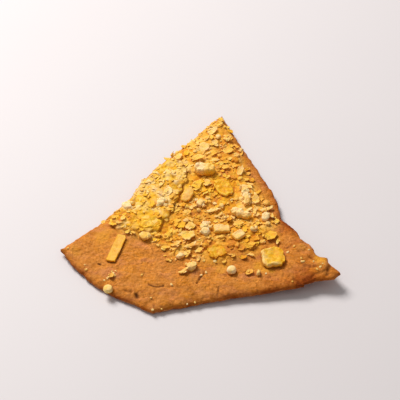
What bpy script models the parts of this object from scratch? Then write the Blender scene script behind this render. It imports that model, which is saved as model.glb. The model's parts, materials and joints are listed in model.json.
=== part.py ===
"""A cheese biscuit: a hand-cut wedge of thin baked dough under grated and crumbled cheese.

Metres, +Z up. The biscuit lies on the plane z = 0, with the origin under the middle of its
outline's box. Its side tips point to -X and +X and its apex to +Y. All the sizes below are
in millimetres, and only the finished meshes are in metres.
"""

import math
import random
from collections import namedtuple

import bmesh
import bpy
import numpy as np
from mathutils import Vector, geometry, noise

MM = 0.001

# The cut outline, from the left tip round by the front. Each side is a smooth curve through
# its own points, and the sides meet at corners.
SIDES = [
    [(-62.2, -26.3), (-53.0, -38.6), (-40.0, -50.1), (-19.9, -61.4)],
    [(-19.9, -61.4), (-8.5, -58.6), (11.0, -54.4), (28.0, -51.8), (46.2, -49.2)],
    [(46.2, -49.2), (47.0, -47.8), (52.0, -46.8), (59.5, -46.3)],
    [(59.5, -46.3), (62.2, -43.7)],
    [(62.2, -43.7), (59.8, -40.2), (58.0, -37.3), (57.4, -33.8)],
    [(57.4, -33.8), (52.6, -31.4), (50.4, -26.2), (46.0, -20.4), (44.4, -16.3), (37.9, -8.3)],
    [(37.9, -8.3), (35.2, 6.4), (27.7, 24.0), (18.8, 43.6), (11.3, 61.4)],
    [(11.3, 61.4), (-11.3, 34.8), (-25.3, 18.3), (-34.4, 1.6), (-47.0, -11.8), (-62.2, -26.3)],
]

# The dough
THICK_MIDDLE = 4.9
THICK_EDGE = 3.7
PILLOW_WIDTH = 13.0  # how far in from the edge the dough keeps thickening
TOP_ROUNDING = 3.2  # width of the rounded edge above
UNDER_ROUNDING = 1.3  # and below
UPPER_RIM, LOWER_RIM = 0.46, 0.24  # heights of the outermost edge, as shares of the thickness
WAVE_HEIGHT = 0.42  # slow swells of the baked top
WAVE_LENGTH = 19.0
EDGE_WOBBLE = 0.35  # how unevenly the edge was cut
EDGE_WOBBLE_LENGTH = 7.0
RIM_STEP = 2.9  # spacing of the points round the outline
TOP_STEP = 3.3  # and over the top and the underside
UNDER_STEP = 7.5

# The baked sheet curls up off the plane towards its tips and along part of its front edge
RIGHT_CURL = 4.6
RIGHT_CURL_FROM, RIGHT_TIP_X = 15.0, 61.0
LEFT_CURL = 1.2
LEFT_CURL_FROM, LEFT_TIP_X = -44.0, -62.2
FRONT_CURL = 1.3
FRONT_CURL_X = (-12.0, 34.0)
FRONT_CURL_Y = (-37.0, -53.0)

# Coarse blisters in the crust beside the right tip
BLISTER_CENTRE = (50.0, -34.0)
BLISTER_REACH = 15.0
BLISTER_HEIGHT = 0.9
BLISTER_LENGTH = 7.0

# The patch that the topping covers, fading out over TOPPING_FADE
TOPPING_PATCH = [
    (-45.0, -9.0), (-34.0, -17.5), (-19.0, -22.5), (-11.0, -33.5), (11.0, -34.5), (27.0, -26.0),
    (34.5, -13.0), (29.5, 4.0), (20.5, 26.0), (11.0, 60.0), (2.0, 57.0), (-38.0, 2.0),
]
TOPPING_FADE = 4.5
LAYER_HEIGHT = 0.75  # the fine cheese baked onto the patch, under the loose pieces
LAYER_BUMP = 0.55
LAYER_BUMP_LENGTH = 5.0

# Big pieces of cheese, each a body of its own that lies on the dough across a hairline gap
GAP = 0.42
Piece = namedtuple("Piece", "name x y length width turn thick lift_left lift_right squareness")
PIECES = [
    Piece("cheese_shred", -36.8, -27.6, 15.6, 4.4, 72, 1.0, 0.0, 0.3, 9.0),
    Piece("cheese_slab", 32.9, -34.1, 10.4, 11.2, 10, 2.2, 0.2, 0.2, 3.4),
    Piece("cheese_stick", 19.1, -8.0, 10.4, 4.2, -25, 2.8, 0.1, 0.0, 3.0),
    Piece("cheese_chunk", 2.9, 19.4, 10.0, 5.6, -8, 4.1, 0.2, 0.0, 2.7),
    Piece("cheese_block", 10.4, -17.2, 7.5, 4.4, 3, 1.7, 0.2, 0.2, 7.0),
    Piece("cheese_tilted_flake", -5.2, 3.8, 8.6, 5.2, 66, 1.0, 0.3, 1.8, 2.3),
    Piece("cheese_round_flake", 11.6, 8.4, 11.6, 7.6, -62, 1.0, 0.1, 0.6, 2.3),
    Piece("cheese_wide_flake", -22.0, -13.9, 11.0, 6.2, 8, 1.5, 0.4, 0.4, 2.6),
    Piece("cheese_melted_flake", 8.2, -30.0, 8.8, 7.6, 25, 1.0, 0.1, 0.1, 3.2),
    Piece("cheese_wedge", 18.0, -21.0, 5.8, 4.6, 38, 1.8, 0.2, 0.2, 4.5),
]
PIECE_RIM_STEP = 1.4
PIECE_STEP = 1.6
PIECE_ROUNDING = 0.8
CLEARANCE = 0.55  # between a big piece and the fused crumbs round it

# Small pieces, fused to the dough: flakes, lumps and strips
Crumb = namedtuple("Crumb", "kind x y radius height turn tilt")
HAND_PLACED = [
    Crumb("lump", 14.5, -40.8, 2.2, 2.9, 10, 0),
    Crumb("lump", -39.6, -49.9, 2.2, 3.0, 0, 0),
    Crumb("lump", -32.8, -2.0, 2.9, 2.6, 80, 0),
    Crumb("lump", -17.2, -1.0, 2.9, 3.2, 70, 0),
    Crumb("flake", -23.5, -2.5, 3.6, 1.6, 5, 8),
    Crumb("flake", -15.5, 5.5, 3.5, 1.4, 30, 6),
    Crumb("flake", -16.0, 18.0, 3.0, 1.3, 20, 5),
    Crumb("flake", -10.0, 16.0, 2.9, 1.3, 60, 8),
    Crumb("flake", -20.5, 14.5, 2.6, 1.3, 30, 6),
    Crumb("flake", -25.0, 11.0, 2.5, 1.2, 50, 8),
    Crumb("flake", -28.5, 4.5, 2.7, 1.2, 45, 4),
    Crumb("flake", -23.5, 5.0, 2.5, 1.3, 0, 8),
    Crumb("lump", -18.0, -7.5, 1.9, 1.6, 20, 0),
    Crumb("lump", -24.0, -20.8, 2.9, 2.3, 0, 0),
    Crumb("flake", -38.5, -11.5, 3.0, 0.8, 70, 0),
    Crumb("flake", -34.0, -14.5, 2.0, 1.2, 20, 12),
    Crumb("strip", -29.8, -18.3, 1.5, 1.0, -50, 8),
    Crumb("flake", -11.5, 5.5, 2.5, 1.2, 90, 4),
    Crumb("flake", -13.5, -5.5, 2.3, 1.2, 40, 6),
    Crumb("lump", 0.8, -1.2, 2.7, 2.3, 60, 0),
    Crumb("flake", -2.6, -3.2, 2.1, 1.2, 20, 8),
    Crumb("strip", 6.5, -5.3, 2.6, 1.3, 8, 5),
    Crumb("lump", 11.5, -10.0, 1.3, 1.3, 0, 0),
    Crumb("lump", 3.2, -14.0, 2.4, 2.2, 80, 0),
    Crumb("flake", 17.6, -13.4, 2.7, 1.2, 0, 6),
    Crumb("lump", 25.0, -17.3, 2.2, 2.3, 15, 0),
    Crumb("lump", 21.4, 7.5, 2.8, 2.5, 95, 0),
    Crumb("lump", 22.0, -0.4, 2.6, 2.7, 80, 0),
    Crumb("flake", 26.2, 1.0, 2.6, 1.5, 90, 8),
    Crumb("strip", 25.7, -5.8, 1.9, 1.2, 85, 4),
    Crumb("lump", 30.4, -9.3, 2.5, 2.4, 70, 0),
    Crumb("lump", 30.8, -0.4, 2.1, 1.5, 0, 0),
    Crumb("flake", -0.8, 10.8, 2.9, 1.5, 80, 8),
    Crumb("flake", 3.6, 11.6, 2.4, 1.2, 70, 6),
    Crumb("flake", -3.8, -15.0, 2.6, 1.4, 60, 8),
    Crumb("flake", -5.0, -21.0, 3.6, 1.7, 5, 7),
    Crumb("flake", -10.1, -26.2, 2.3, 1.7, 30, 10),
    Crumb("strip", -3.9, -27.0, 2.3, 1.5, 15, 8),
    Crumb("lump", -8.1, -32.8, 2.1, 1.9, 45, 0),
    Crumb("flake", -5.0, -31.0, 2.0, 1.1, 30, 6),
    Crumb("lump", -3.2, -38.7, 2.6, 2.6, 40, 0),
    Crumb("strip", -6.9, -41.2, 2.0, 1.2, 25, 8),
    Crumb("lump", 2.6, -26.4, 1.6, 1.3, 0, 0),
    Crumb("flake", 0.2, -29.4, 1.9, 1.1, 40, 8),
    Crumb("lump", 14.4, -26.0, 1.9, 0.9, 0, 0),
    Crumb("flake", 22.8, -26.2, 3.3, 1.0, 0, 4),
    Crumb("strip", 22.8, -31.5, 1.7, 0.9, -30, 6),
    Crumb("flake", 32.2, -20.7, 3.4, 1.0, 10, 4),
    Crumb("strip", 35.3, -24.6, 1.2, 0.7, 80, 0),
    Crumb("flake", 2.5, 36.0, 3.4, 1.3, 90, 5),
    Crumb("flake", 13.6, 41.4, 2.7, 1.8, 40, 12),
    Crumb("flake", 7.8, 38.0, 2.6, 1.2, 70, 6),
    Crumb("flake", 6.4, 46.4, 2.7, 1.3, 20, 8),
    Crumb("flake", 9.6, 52.0, 2.0, 1.2, 0, 6),
    Crumb("flake", -5.8, 31.5, 2.2, 1.2, 50, 5),
    Crumb("flake", -0.8, 27.9, 3.1, 1.4, 0, 6),
    Crumb("flake", 6.8, 31.2, 2.1, 1.2, 30, 6),
    Crumb("strip", 7.2, 26.9, 2.0, 1.0, 0, 4),
    Crumb("flake", 14.2, 33.6, 3.1, 1.3, 0, 6),
    Crumb("lump", 16.9, 27.0, 2.2, 1.3, 80, 0),
    Crumb("lump", 11.7, 27.5, 1.8, 1.4, 0, 0),
    Crumb("flake", 12.6, 21.8, 2.0, 1.3, 0, 10),
    Crumb("flake", 19.3, 19.3, 2.6, 1.6, 60, 18),
    Crumb("flake", -10.0, 29.4, 2.3, 1.1, 30, 5),
    Crumb("flake", -13.6, 25.3, 2.5, 1.1, 60, 5),
    Crumb("flake", -7.8, -14.3, 2.7, 0.9, 80, 4),
    Crumb("lump", -14.0, -20.6, 1.9, 1.4, 0, 0),
    Crumb("flake", -5.4, -6.8, 2.5, 1.1, 40, 6),
    Crumb("lump", 26.2, -42.6, 1.5, 2.0, 70, 0),
    Crumb("flake", 22.3, -41.7, 2.0, 0.9, 0, 8),
    Crumb("flake", -38.4, -43.0, 1.5, 0.9, 70, 8),
    Crumb("lump", 46.0, -36.8, 1.0, 0.9, 0, 0),
    Crumb("lump", 3.0, -18.7, 2.4, 2.6, 80, 0),
    Crumb("lump", 21.8, 3.6, 2.3, 2.3, 60, 0),
]
CRUMB_COUNT = 130
LARGEST, SMALLEST = 1.9, 1.0  # radii of the scattered ones
KINDS = ("flake", "flake", "flake", "lump", "lump", "strip")
HEIGHT_SHARES = {"flake": 0.42, "lump": 0.85, "strip": 0.42}  # of the radius
STEEPEST = 18.0  # how far a flake or strip may lean, in degrees
CRUMB_SIDES = 6
SINK = 0.7  # how deep a crumb reaches into the dough
CLOSEST = 0.58  # share of two crumbs' radii that their centres keep apart
PILE_RISE = 0.34  # share of a crumb's height that it lifts one leaning on it
TRIES = 30  # places drawn for each crumb, of which it takes the emptiest
SEED = 20

# Colours (linear), roughness
DOUGH_COLOUR, DOUGH_ROUGHNESS = (0.60, 0.24, 0.055), 0.75
YELLOW_CHEESE = (0.80, 0.50, 0.10)
PALE_CHEESE = (0.87, 0.72, 0.38)
CHEESE_ROUGHNESS = 0.55
PALE_PIECES = ("cheese_stick", "cheese_chunk", "cheese_block", "cheese_wedge", "cheese_tilted_flake")


def clear_scene():
    for thing in list(bpy.data.objects):
        bpy.data.objects.remove(thing)


def material(name, colour, roughness):
    finish = bpy.data.materials.new(name)
    finish.use_nodes = True
    shader = finish.node_tree.nodes["Principled BSDF"]
    shader.inputs["Base Color"].default_value = (*colour, 1.0)
    shader.inputs["Roughness"].default_value = roughness
    shader.inputs["Metallic"].default_value = 0.0
    return finish


# ---- curves and distances in the plane ----


def ease(value):
    """0 up to 0, 1 from 1 on, and a smooth step between."""
    value = np.clip(value, 0.0, 1.0)
    return value * value * (3.0 - 2.0 * value)


def through(points, step):
    """Points about one step apart along a smooth curve through these points, without the last."""
    points = [np.array(p) for p in points]
    ends = [2 * points[0] - points[1], *points, 2 * points[-1] - points[-2]]
    walked = []
    for before, start, end, after in zip(ends, ends[1:], ends[2:], ends[3:]):
        pieces = max(1, round(float(np.linalg.norm(end - start)) / step))
        for k in range(pieces):
            t = k / pieces
            walked.append(
                0.5
                * (
                    2 * start
                    + (end - before) * t
                    + (2 * before - 5 * start + 4 * end - after) * t**2
                    + (3 * start - before - 3 * end + after) * t**3
                )
            )
    return walked


def outward_normals(rim):
    """The outline runs counter-clockwise, so outside lies to the right of its run."""
    along = np.roll(rim, -1, axis=0) - np.roll(rim, 1, axis=0)
    along /= np.linalg.norm(along, axis=1)[:, None]
    return np.stack([along[:, 1], -along[:, 0]], axis=1)


def field(x, y, length, layer=0.0):
    """Smooth noise of about this wavelength at each point, mostly within -0.5 to 0.5."""
    spots = zip(np.ravel(x) / length, np.ravel(y) / length)
    return np.array([noise.noise(Vector((across, along, layer))) for across, along in spots])


def biscuit_rim(step):
    rim = np.array([point for side in SIDES for point in through(side, step)])
    wobble = EDGE_WOBBLE * field(rim[:, 0], rim[:, 1], EDGE_WOBBLE_LENGTH, 3.0)
    return rim + outward_normals(rim) * wobble[:, None]


def depth_inside(points, rim):
    """How far each point lies inside a closed outline, and below zero if outside it."""
    points = np.atleast_2d(np.asarray(points, float))
    start, end = rim, np.roll(rim, -1, axis=0)
    along = end - start
    to_point = points[:, None, :] - start[None]
    share = np.clip((to_point * along).sum(2) / (along * along).sum(1), 0.0, 1.0)
    distance = np.linalg.norm(to_point - share[..., None] * along, axis=2).min(1)
    above = points[:, None, 1] < np.stack([start[:, 1], end[:, 1]], axis=1).max(1)
    above &= points[:, None, 1] >= np.stack([start[:, 1], end[:, 1]], axis=1).min(1)
    rise = np.where(np.abs(along[:, 1]) < 1e-9, 1e-9, along[:, 1])
    crossing = start[:, 0] + to_point[..., 1] / rise * along[:, 0]
    inside = (above & (points[:, None, 0] < crossing)).sum(1) % 2 == 1
    return np.where(inside, distance, -distance)


# ---- the dough's two faces ----


def curl(x, y):
    """How far the underside has lifted off the plane."""
    right = np.clip((x - RIGHT_CURL_FROM) / (RIGHT_TIP_X - RIGHT_CURL_FROM), 0.0, 1.05)
    left = np.clip((x - LEFT_CURL_FROM) / (LEFT_TIP_X - LEFT_CURL_FROM), 0.0, 1.05)
    front = ease((x - FRONT_CURL_X[0]) / (FRONT_CURL_X[1] - FRONT_CURL_X[0]))
    front = front * ease((y - FRONT_CURL_Y[0]) / (FRONT_CURL_Y[1] - FRONT_CURL_Y[0]))
    return RIGHT_CURL * right**1.8 + LEFT_CURL * left**2 + FRONT_CURL * front


def topping_cover(x, y):
    """Share of the surface that the topping hides: 1 in the middle of the patch, 0 off it."""
    patch = np.array(TOPPING_PATCH)
    points = np.stack([np.ravel(x), np.ravel(y)], axis=1)
    return ease(0.5 + depth_inside(points, patch) / (2 * TOPPING_FADE))


def relief(x, y):
    """Slow swells, the blisters beside the right tip, and the rough layer of fine cheese."""
    swell = field(x, y, WAVE_LENGTH) + 0.4 * field(x, y, WAVE_LENGTH / 2.3)
    nearness = 1.0 - np.hypot(x - BLISTER_CENTRE[0], y - BLISTER_CENTRE[1]) / BLISTER_REACH
    blister = 2.0 * np.abs(field(x, y, BLISTER_LENGTH, 9.0)) * ease(nearness * 1.5)
    layer = LAYER_HEIGHT + LAYER_BUMP * field(x, y, LAYER_BUMP_LENGTH, 6.0)
    return WAVE_HEIGHT * swell + BLISTER_HEIGHT * blister + layer * topping_cover(x, y)


def rounding(depth, width):
    """Quarter of an ellipse: 0 at the edge, and 1 from this width on."""
    return np.sqrt(1.0 - (1.0 - np.clip(depth / width, 0.0, 1.0)) ** 2)


def dough_thickness(x, y, depth):
    pillow = (THICK_MIDDLE - THICK_EDGE) * ease(depth / PILLOW_WIDTH)
    return THICK_EDGE + pillow + relief(x, y) * ease(depth / TOP_ROUNDING)


def dough_top(x, y, depth):
    round_up = UPPER_RIM + (1.0 - UPPER_RIM) * rounding(depth, TOP_ROUNDING)
    return curl(x, y) + dough_thickness(x, y, depth) * round_up


def dough_underside(x, y, depth):
    return curl(x, y) + THICK_EDGE * LOWER_RIM * (1.0 - rounding(depth, UNDER_ROUNDING))


# ---- a closed body between a top and an underside of one outline ----


def inner_points(rim, step, insets):
    """Points inside the outline: rows along it at these insets, then an even triangular grid."""
    rows = [rim - outward_normals(rim) * inset for inset in insets]
    for row, inset in zip(rows, insets):
        row[depth_inside(row, rim) < 0.8 * inset] = np.nan
    low, high = rim.min(0), rim.max(0)
    grid = []
    for j in range(int((high[1] - low[1]) / (step * 0.866)) + 1):
        shift = 0.5 * step * (j % 2)
        for i in range(int((high[0] - low[0]) / step) + 2):
            grid.append((low[0] + shift + i * step, low[1] + j * step * 0.866))
    grid = np.array(grid)
    grid = grid[depth_inside(grid, rim) > max(insets, default=0.0) + 0.55 * step]
    every = np.concatenate([*rows, grid])
    return every[~np.isnan(every[:, 0])]


def spread_face(shape, rim, inner, surface):
    """Triangles over the outline and the points in it, facing up. Returns the faces and the rim."""
    points = [Vector(p) for p in np.concatenate([rim, inner])]
    edges = [(i, (i + 1) % len(rim)) for i in range(len(rim))]
    made, _, triangles, origins, _, _ = geometry.delaunay_2d_cdt(points, edges, [], 1, 1e-5)
    made = np.array([tuple(p) for p in made])
    first = np.array([min(origin) for origin in origins])
    depths = np.where(first < len(rim), 0.0, depth_inside(made, rim))
    heights = surface(made[:, 0], made[:, 1], depths)
    placed = np.column_stack([made, heights]) * MM
    verts = [shape.verts.new(tuple(p)) for p in placed]
    faces = [shape.faces.new([verts[i] for i in triangle]) for triangle in triangles]
    at_rim = {origin: vert for origin, vert in zip(first.tolist(), verts)}
    return faces, [at_rim[i] for i in range(len(rim))]


def sheet_body(name, rim, top, underside, steps, insets):
    """A closed mesh with a top and an underside, given as functions of x, y and the depth."""
    shape = bmesh.new()
    _, upper = spread_face(shape, rim, inner_points(rim, steps[0], insets), top)
    below, lower = spread_face(shape, rim, inner_points(rim, steps[1], insets[-1:]), underside)
    bmesh.ops.reverse_faces(shape, faces=below)
    for k in range(len(rim)):
        after = (k + 1) % len(rim)
        shape.faces.new((lower[k], lower[after], upper[after], upper[k]))
    bmesh.ops.triangulate(shape, faces=shape.faces)
    mesh = bpy.data.meshes.new(name)
    shape.to_mesh(mesh)
    shape.free()
    body = bpy.data.objects.new(name, mesh)
    bpy.context.scene.collection.objects.link(body)
    return body


def make_dough(rim):
    insets = (0.35, 1.3)
    return sheet_body("biscuit", rim, dough_top, dough_underside, (TOP_STEP, UNDER_STEP), insets)


# ---- the big pieces of cheese ----


def piece_outline(piece, step, grow=0.0):
    """A rounded box of the piece's length and width, uneven, turned and set in its place."""
    count = max(10, round(2.4 * (piece.length + piece.width) / 1.3 / step))
    turn = math.radians(piece.turn)
    half_length, half_width = piece.length / 2 + grow, piece.width / 2 + grow
    power = 2.0 / piece.squareness
    outline = []
    for k in range(count):
        angle = 2 * math.pi * k / count
        c, s = math.cos(angle), math.sin(angle)
        x = half_length * math.copysign(abs(c) ** power, c)
        y = half_width * math.copysign(abs(s) ** power, s)
        uneven = 1.0 + 0.09 * noise.noise(Vector((piece.x + 2.0 * c, piece.y + 2.0 * s, 5.0)))
        x, y = x * uneven, y * uneven
        outline.append(
            (
                piece.x + x * math.cos(turn) - y * math.sin(turn),
                piece.y + x * math.sin(turn) + y * math.cos(turn),
            )
        )
    return np.array(outline)


def make_piece(piece, rim):
    """The piece rests along the dough below it, and its left and right ends may stand off it."""
    turn = math.radians(piece.turn)
    outline = piece_outline(piece, PIECE_RIM_STEP)

    def bed(x, y):
        along = (x - piece.x) * math.cos(turn) + (y - piece.y) * math.sin(turn)
        lift = piece.lift_left + (piece.lift_right - piece.lift_left) * (along / piece.length + 0.5)
        return dough_top(x, y, depth_inside(np.column_stack([x, y]), rim)) + GAP + lift

    def underside(x, y, depth):
        return bed(x, y) + 0.2 * piece.thick * (1.0 - rounding(depth, PIECE_ROUNDING))

    def top(x, y, depth):
        uneven = 1.0 + 0.12 * field(x, y, 2.5, 7.0) * ease(depth)
        return bed(x, y) + piece.thick * uneven * (0.5 + 0.5 * rounding(depth, PIECE_ROUNDING))

    steps = (PIECE_STEP, PIECE_STEP)
    return sheet_body(piece.name, outline, top, underside, steps, (0.25,))


# ---- the small pieces, fused to the dough ----


def crumb_outline_reach(kind, radius):
    return radius * 1.35 if kind == "strip" else radius


def scatter_crumbs(rim, count):
    """The hand-placed crumbs and then the scattered ones, largest first. Each is (crumb, rise)."""
    draw = random.Random(SEED)
    keep_out = [piece_outline(piece, PIECE_RIM_STEP) for piece in PIECES]
    placed = [(crumb, 0.0) for crumb in HAND_PLACED]
    low, high = rim.min(0), rim.max(0)

    def room_at(x, y, reach):
        """How far off the nearest crumb is, as a share of what the two need, or 0 with no room."""
        if depth_inside((x, y), rim)[0] < 0.35 * reach + 0.6:
            return 0.0
        if any(depth_inside((x, y), outline)[0] > -(reach + CLEARANCE) for outline in keep_out):
            return 0.0
        return min(math.dist((x, y), (c.x, c.y)) / (reach + c.radius) for c, _ in placed)

    for k in range(count):
        radius = LARGEST + (SMALLEST - LARGEST) * (k / count) ** 0.75
        kind = draw.choice(KINDS)
        reach = crumb_outline_reach(kind, radius)
        spots = []
        for _ in range(TRIES):
            x, y = draw.uniform(low[0], high[0]), draw.uniform(low[1], high[1])
            if draw.random() < topping_cover(x, y)[0]:
                spots.append((room_at(x, y, reach), x, y))
        room, x, y = max(spots)
        if room < CLOSEST:
            continue
        leaned_on = [
            (other.height + rise) * PILE_RISE
            for other, rise in placed
            if math.dist((x, y), (other.x, other.y)) < 0.92 * (reach + other.radius)
        ]
        height = radius * HEIGHT_SHARES[kind] * draw.uniform(0.8, 1.25)
        tilt = draw.uniform(0.0, STEEPEST) if kind != "lump" else 0.0
        crumb = Crumb(kind, x, y, radius, height, draw.uniform(0.0, 360.0), tilt)
        placed.append((crumb, max(leaned_on, default=0.0)))
    return placed


def crumb_rings(kind):
    """(share of the radius, share of the height) from the middle of the crumb up to its top."""
    return ((1.0, 0.45), (0.72, 0.88)) if kind == "lump" else ((1.0, 0.72),)


def make_crumb(index, crumb, rise, rim):
    """A closed, uneven lump, flake or strip whose foot reaches into the dough."""
    draw = random.Random(SEED * 1000 + index)
    stretch = (1.55, 0.55) if crumb.kind == "strip" else (draw.uniform(0.95, 1.2), draw.uniform(0.72, 0.95))
    turn, tilt = math.radians(crumb.turn), math.tan(math.radians(crumb.tilt))
    depth = np.maximum(depth_inside((crumb.x, crumb.y), rim), 0.4)
    base = float(dough_top(crumb.x, crumb.y, depth)[0])
    corners = []
    for k in range(CRUMB_SIDES):
        angle = 2 * math.pi * (k + draw.uniform(-0.25, 0.25)) / CRUMB_SIDES
        reach = crumb.radius * draw.uniform(0.86, 1.1)
        corners.append((reach * stretch[0] * math.cos(angle), reach * stretch[1] * math.sin(angle)))

    shape = bmesh.new()

    def ring(share, height):
        verts = []
        for x, y in corners:
            x, y = x * share, y * share
            z = height + tilt * x
            px = crumb.x + x * math.cos(turn) - y * math.sin(turn)
            py = crumb.y + x * math.sin(turn) + y * math.cos(turn)
            verts.append(shape.verts.new((px * MM, py * MM, z * MM)))
        return verts

    foot = ring(0.86, base - SINK - tilt * crumb.radius)
    rings = [foot] + [ring(r, base + rise + h * crumb.height) for r, h in crumb_rings(crumb.kind)]
    top_height = (base + rise + crumb.height) * MM
    top = shape.verts.new((crumb.x * MM, crumb.y * MM, top_height))
    shape.faces.new(foot[::-1])
    for lower, upper in zip(rings, rings[1:]):
        for k in range(CRUMB_SIDES):
            after = (k + 1) % CRUMB_SIDES
            shape.faces.new((lower[k], lower[after], upper[after], upper[k]))
    for k in range(CRUMB_SIDES):
        shape.faces.new((rings[-1][k], rings[-1][(k + 1) % CRUMB_SIDES], top))
    bmesh.ops.triangulate(shape, faces=shape.faces)
    bmesh.ops.recalc_face_normals(shape, faces=shape.faces)
    mesh = bpy.data.meshes.new(f"crumb_{index}")
    shape.to_mesh(mesh)
    shape.free()
    return bpy.data.objects.new(f"crumb_{index}", mesh)


def fuse(body, pieces):
    """One union of the body with all the pieces, which are then removed."""
    group = bpy.data.collections.new("crumbs")
    bpy.context.scene.collection.children.link(group)
    for piece in pieces:
        group.objects.link(piece)
    union = body.modifiers.new("crumbs", "BOOLEAN")
    union.operation = "UNION"
    union.operand_type = "COLLECTION"
    union.collection = group
    union.solver = "EXACT"
    graph = bpy.context.evaluated_depsgraph_get()
    fused = bpy.data.meshes.new_from_object(body.evaluated_get(graph))
    body.modifiers.clear()
    body.data = fused
    for piece in pieces:
        bpy.data.objects.remove(piece)
    bpy.data.collections.remove(group)


def keep_largest_shell(body):
    """Drops any scrap that the union left loose, and any pocket that it sealed."""
    shape = bmesh.new()
    shape.from_mesh(body.data)
    unseen, largest = set(shape.verts), set()
    while unseen:
        shell, edge_of_shell = set(), [unseen.pop()]
        while edge_of_shell:
            vert = edge_of_shell.pop()
            shell.add(vert)
            for edge in vert.link_edges:
                other = edge.other_vert(vert)
                if other in unseen:
                    unseen.remove(other)
                    edge_of_shell.append(other)
        largest = max(largest, shell, key=len)
    bmesh.ops.delete(shape, geom=[v for v in shape.verts if v not in largest], context="VERTS")
    bmesh.ops.triangulate(shape, faces=shape.faces)
    shape.to_mesh(body.data)
    shape.free()


def main():
    clear_scene()
    dough_finish = material("baked dough", DOUGH_COLOUR, DOUGH_ROUGHNESS)
    yellow = material("yellow cheese", YELLOW_CHEESE, CHEESE_ROUGHNESS)
    pale = material("pale cheese", PALE_CHEESE, CHEESE_ROUGHNESS)
    rim = biscuit_rim(RIM_STEP)
    dough = make_dough(rim)
    crumbs = [
        make_crumb(index, crumb, rise, rim)
        for index, (crumb, rise) in enumerate(scatter_crumbs(rim, CRUMB_COUNT))
    ]
    fuse(dough, crumbs)
    keep_largest_shell(dough)
    dough.data.materials.clear()
    dough.data.materials.append(dough_finish)
    for piece in PIECES:
        body = make_piece(piece, rim)
        body.data.materials.append(pale if piece.name in PALE_PIECES else yellow)


main()
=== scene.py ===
"""The looks of a cheese biscuit: a hand-cut wedge of thin baked dough under grated and crumbled
cheese.

Metres, +Z up, as the solids are. The biscuit lies on the plane z = 0 with its apex to +Y. Sizes
and places below are in millimetres, and only the finished meshes are in metres.
"""

import json
import math
import random
from collections import namedtuple

import bpy
import numpy as np
from mathutils import Euler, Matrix, Vector, geometry, kdtree, noise

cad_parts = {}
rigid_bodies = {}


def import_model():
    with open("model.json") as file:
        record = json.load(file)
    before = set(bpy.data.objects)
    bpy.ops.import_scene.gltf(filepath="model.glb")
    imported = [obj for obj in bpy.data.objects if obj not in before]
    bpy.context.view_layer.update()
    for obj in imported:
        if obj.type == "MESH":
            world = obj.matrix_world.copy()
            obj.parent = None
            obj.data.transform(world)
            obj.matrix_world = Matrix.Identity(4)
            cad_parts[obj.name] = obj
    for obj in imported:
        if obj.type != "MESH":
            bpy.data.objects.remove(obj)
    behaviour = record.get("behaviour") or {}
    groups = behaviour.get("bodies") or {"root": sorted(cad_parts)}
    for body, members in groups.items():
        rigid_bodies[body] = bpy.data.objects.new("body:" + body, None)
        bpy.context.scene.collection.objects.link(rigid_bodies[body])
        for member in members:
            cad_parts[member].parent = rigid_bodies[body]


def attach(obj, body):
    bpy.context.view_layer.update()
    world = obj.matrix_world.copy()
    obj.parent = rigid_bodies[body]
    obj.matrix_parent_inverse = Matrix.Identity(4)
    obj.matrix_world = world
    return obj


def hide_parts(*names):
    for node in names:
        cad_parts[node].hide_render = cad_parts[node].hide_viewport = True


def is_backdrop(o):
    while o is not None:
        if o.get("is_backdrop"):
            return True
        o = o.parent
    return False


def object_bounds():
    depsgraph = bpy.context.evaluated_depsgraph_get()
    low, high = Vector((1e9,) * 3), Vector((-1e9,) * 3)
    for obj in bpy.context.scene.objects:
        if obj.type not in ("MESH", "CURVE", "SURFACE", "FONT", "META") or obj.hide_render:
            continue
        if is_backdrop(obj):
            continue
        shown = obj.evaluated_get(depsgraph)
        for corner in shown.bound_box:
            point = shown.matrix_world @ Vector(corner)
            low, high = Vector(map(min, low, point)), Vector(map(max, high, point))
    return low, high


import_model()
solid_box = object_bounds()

MM = 0.001

# ======== the plan, the same as the solids have ========

SIDES = [
    [(-62.2, -26.3), (-53.0, -38.6), (-40.0, -50.1), (-19.9, -61.4)],
    [(-19.9, -61.4), (-8.5, -58.6), (11.0, -54.4), (28.0, -51.8), (46.2, -49.2)],
    [(46.2, -49.2), (47.0, -47.8), (52.0, -46.8), (59.5, -46.3)],
    [(59.5, -46.3), (62.2, -43.7)],
    [(62.2, -43.7), (59.8, -40.2), (58.0, -37.3), (57.4, -33.8)],
    [(57.4, -33.8), (52.6, -31.4), (50.4, -26.2), (46.0, -20.4), (44.4, -16.3), (37.9, -8.3)],
    [(37.9, -8.3), (35.2, 6.4), (27.7, 24.0), (18.8, 43.6), (11.3, 61.4)],
    [(11.3, 61.4), (-11.3, 34.8), (-25.3, 18.3), (-34.4, 1.6), (-47.0, -11.8), (-62.2, -26.3)],
]

THICK_MIDDLE = 4.9
THICK_EDGE = 3.7
PILLOW_WIDTH = 13.0
TOP_ROUNDING = 3.2
UNDER_ROUNDING = 1.3
UPPER_RIM, LOWER_RIM = 0.46, 0.24
WAVE_HEIGHT = 0.42
WAVE_LENGTH = 19.0
EDGE_WOBBLE = 0.35
EDGE_WOBBLE_LENGTH = 7.0
RIM_STEP = 2.9

RIGHT_CURL = 4.6
RIGHT_CURL_FROM, RIGHT_TIP_X = 15.0, 61.0
LEFT_CURL = 1.2
LEFT_CURL_FROM, LEFT_TIP_X = -44.0, -62.2
FRONT_CURL = 1.3
FRONT_CURL_X = (-12.0, 34.0)
FRONT_CURL_Y = (-37.0, -53.0)

BLISTER_CENTRE = (50.0, -34.0)
BLISTER_REACH = 15.0
BLISTER_HEIGHT = 0.9
BLISTER_LENGTH = 7.0

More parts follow.
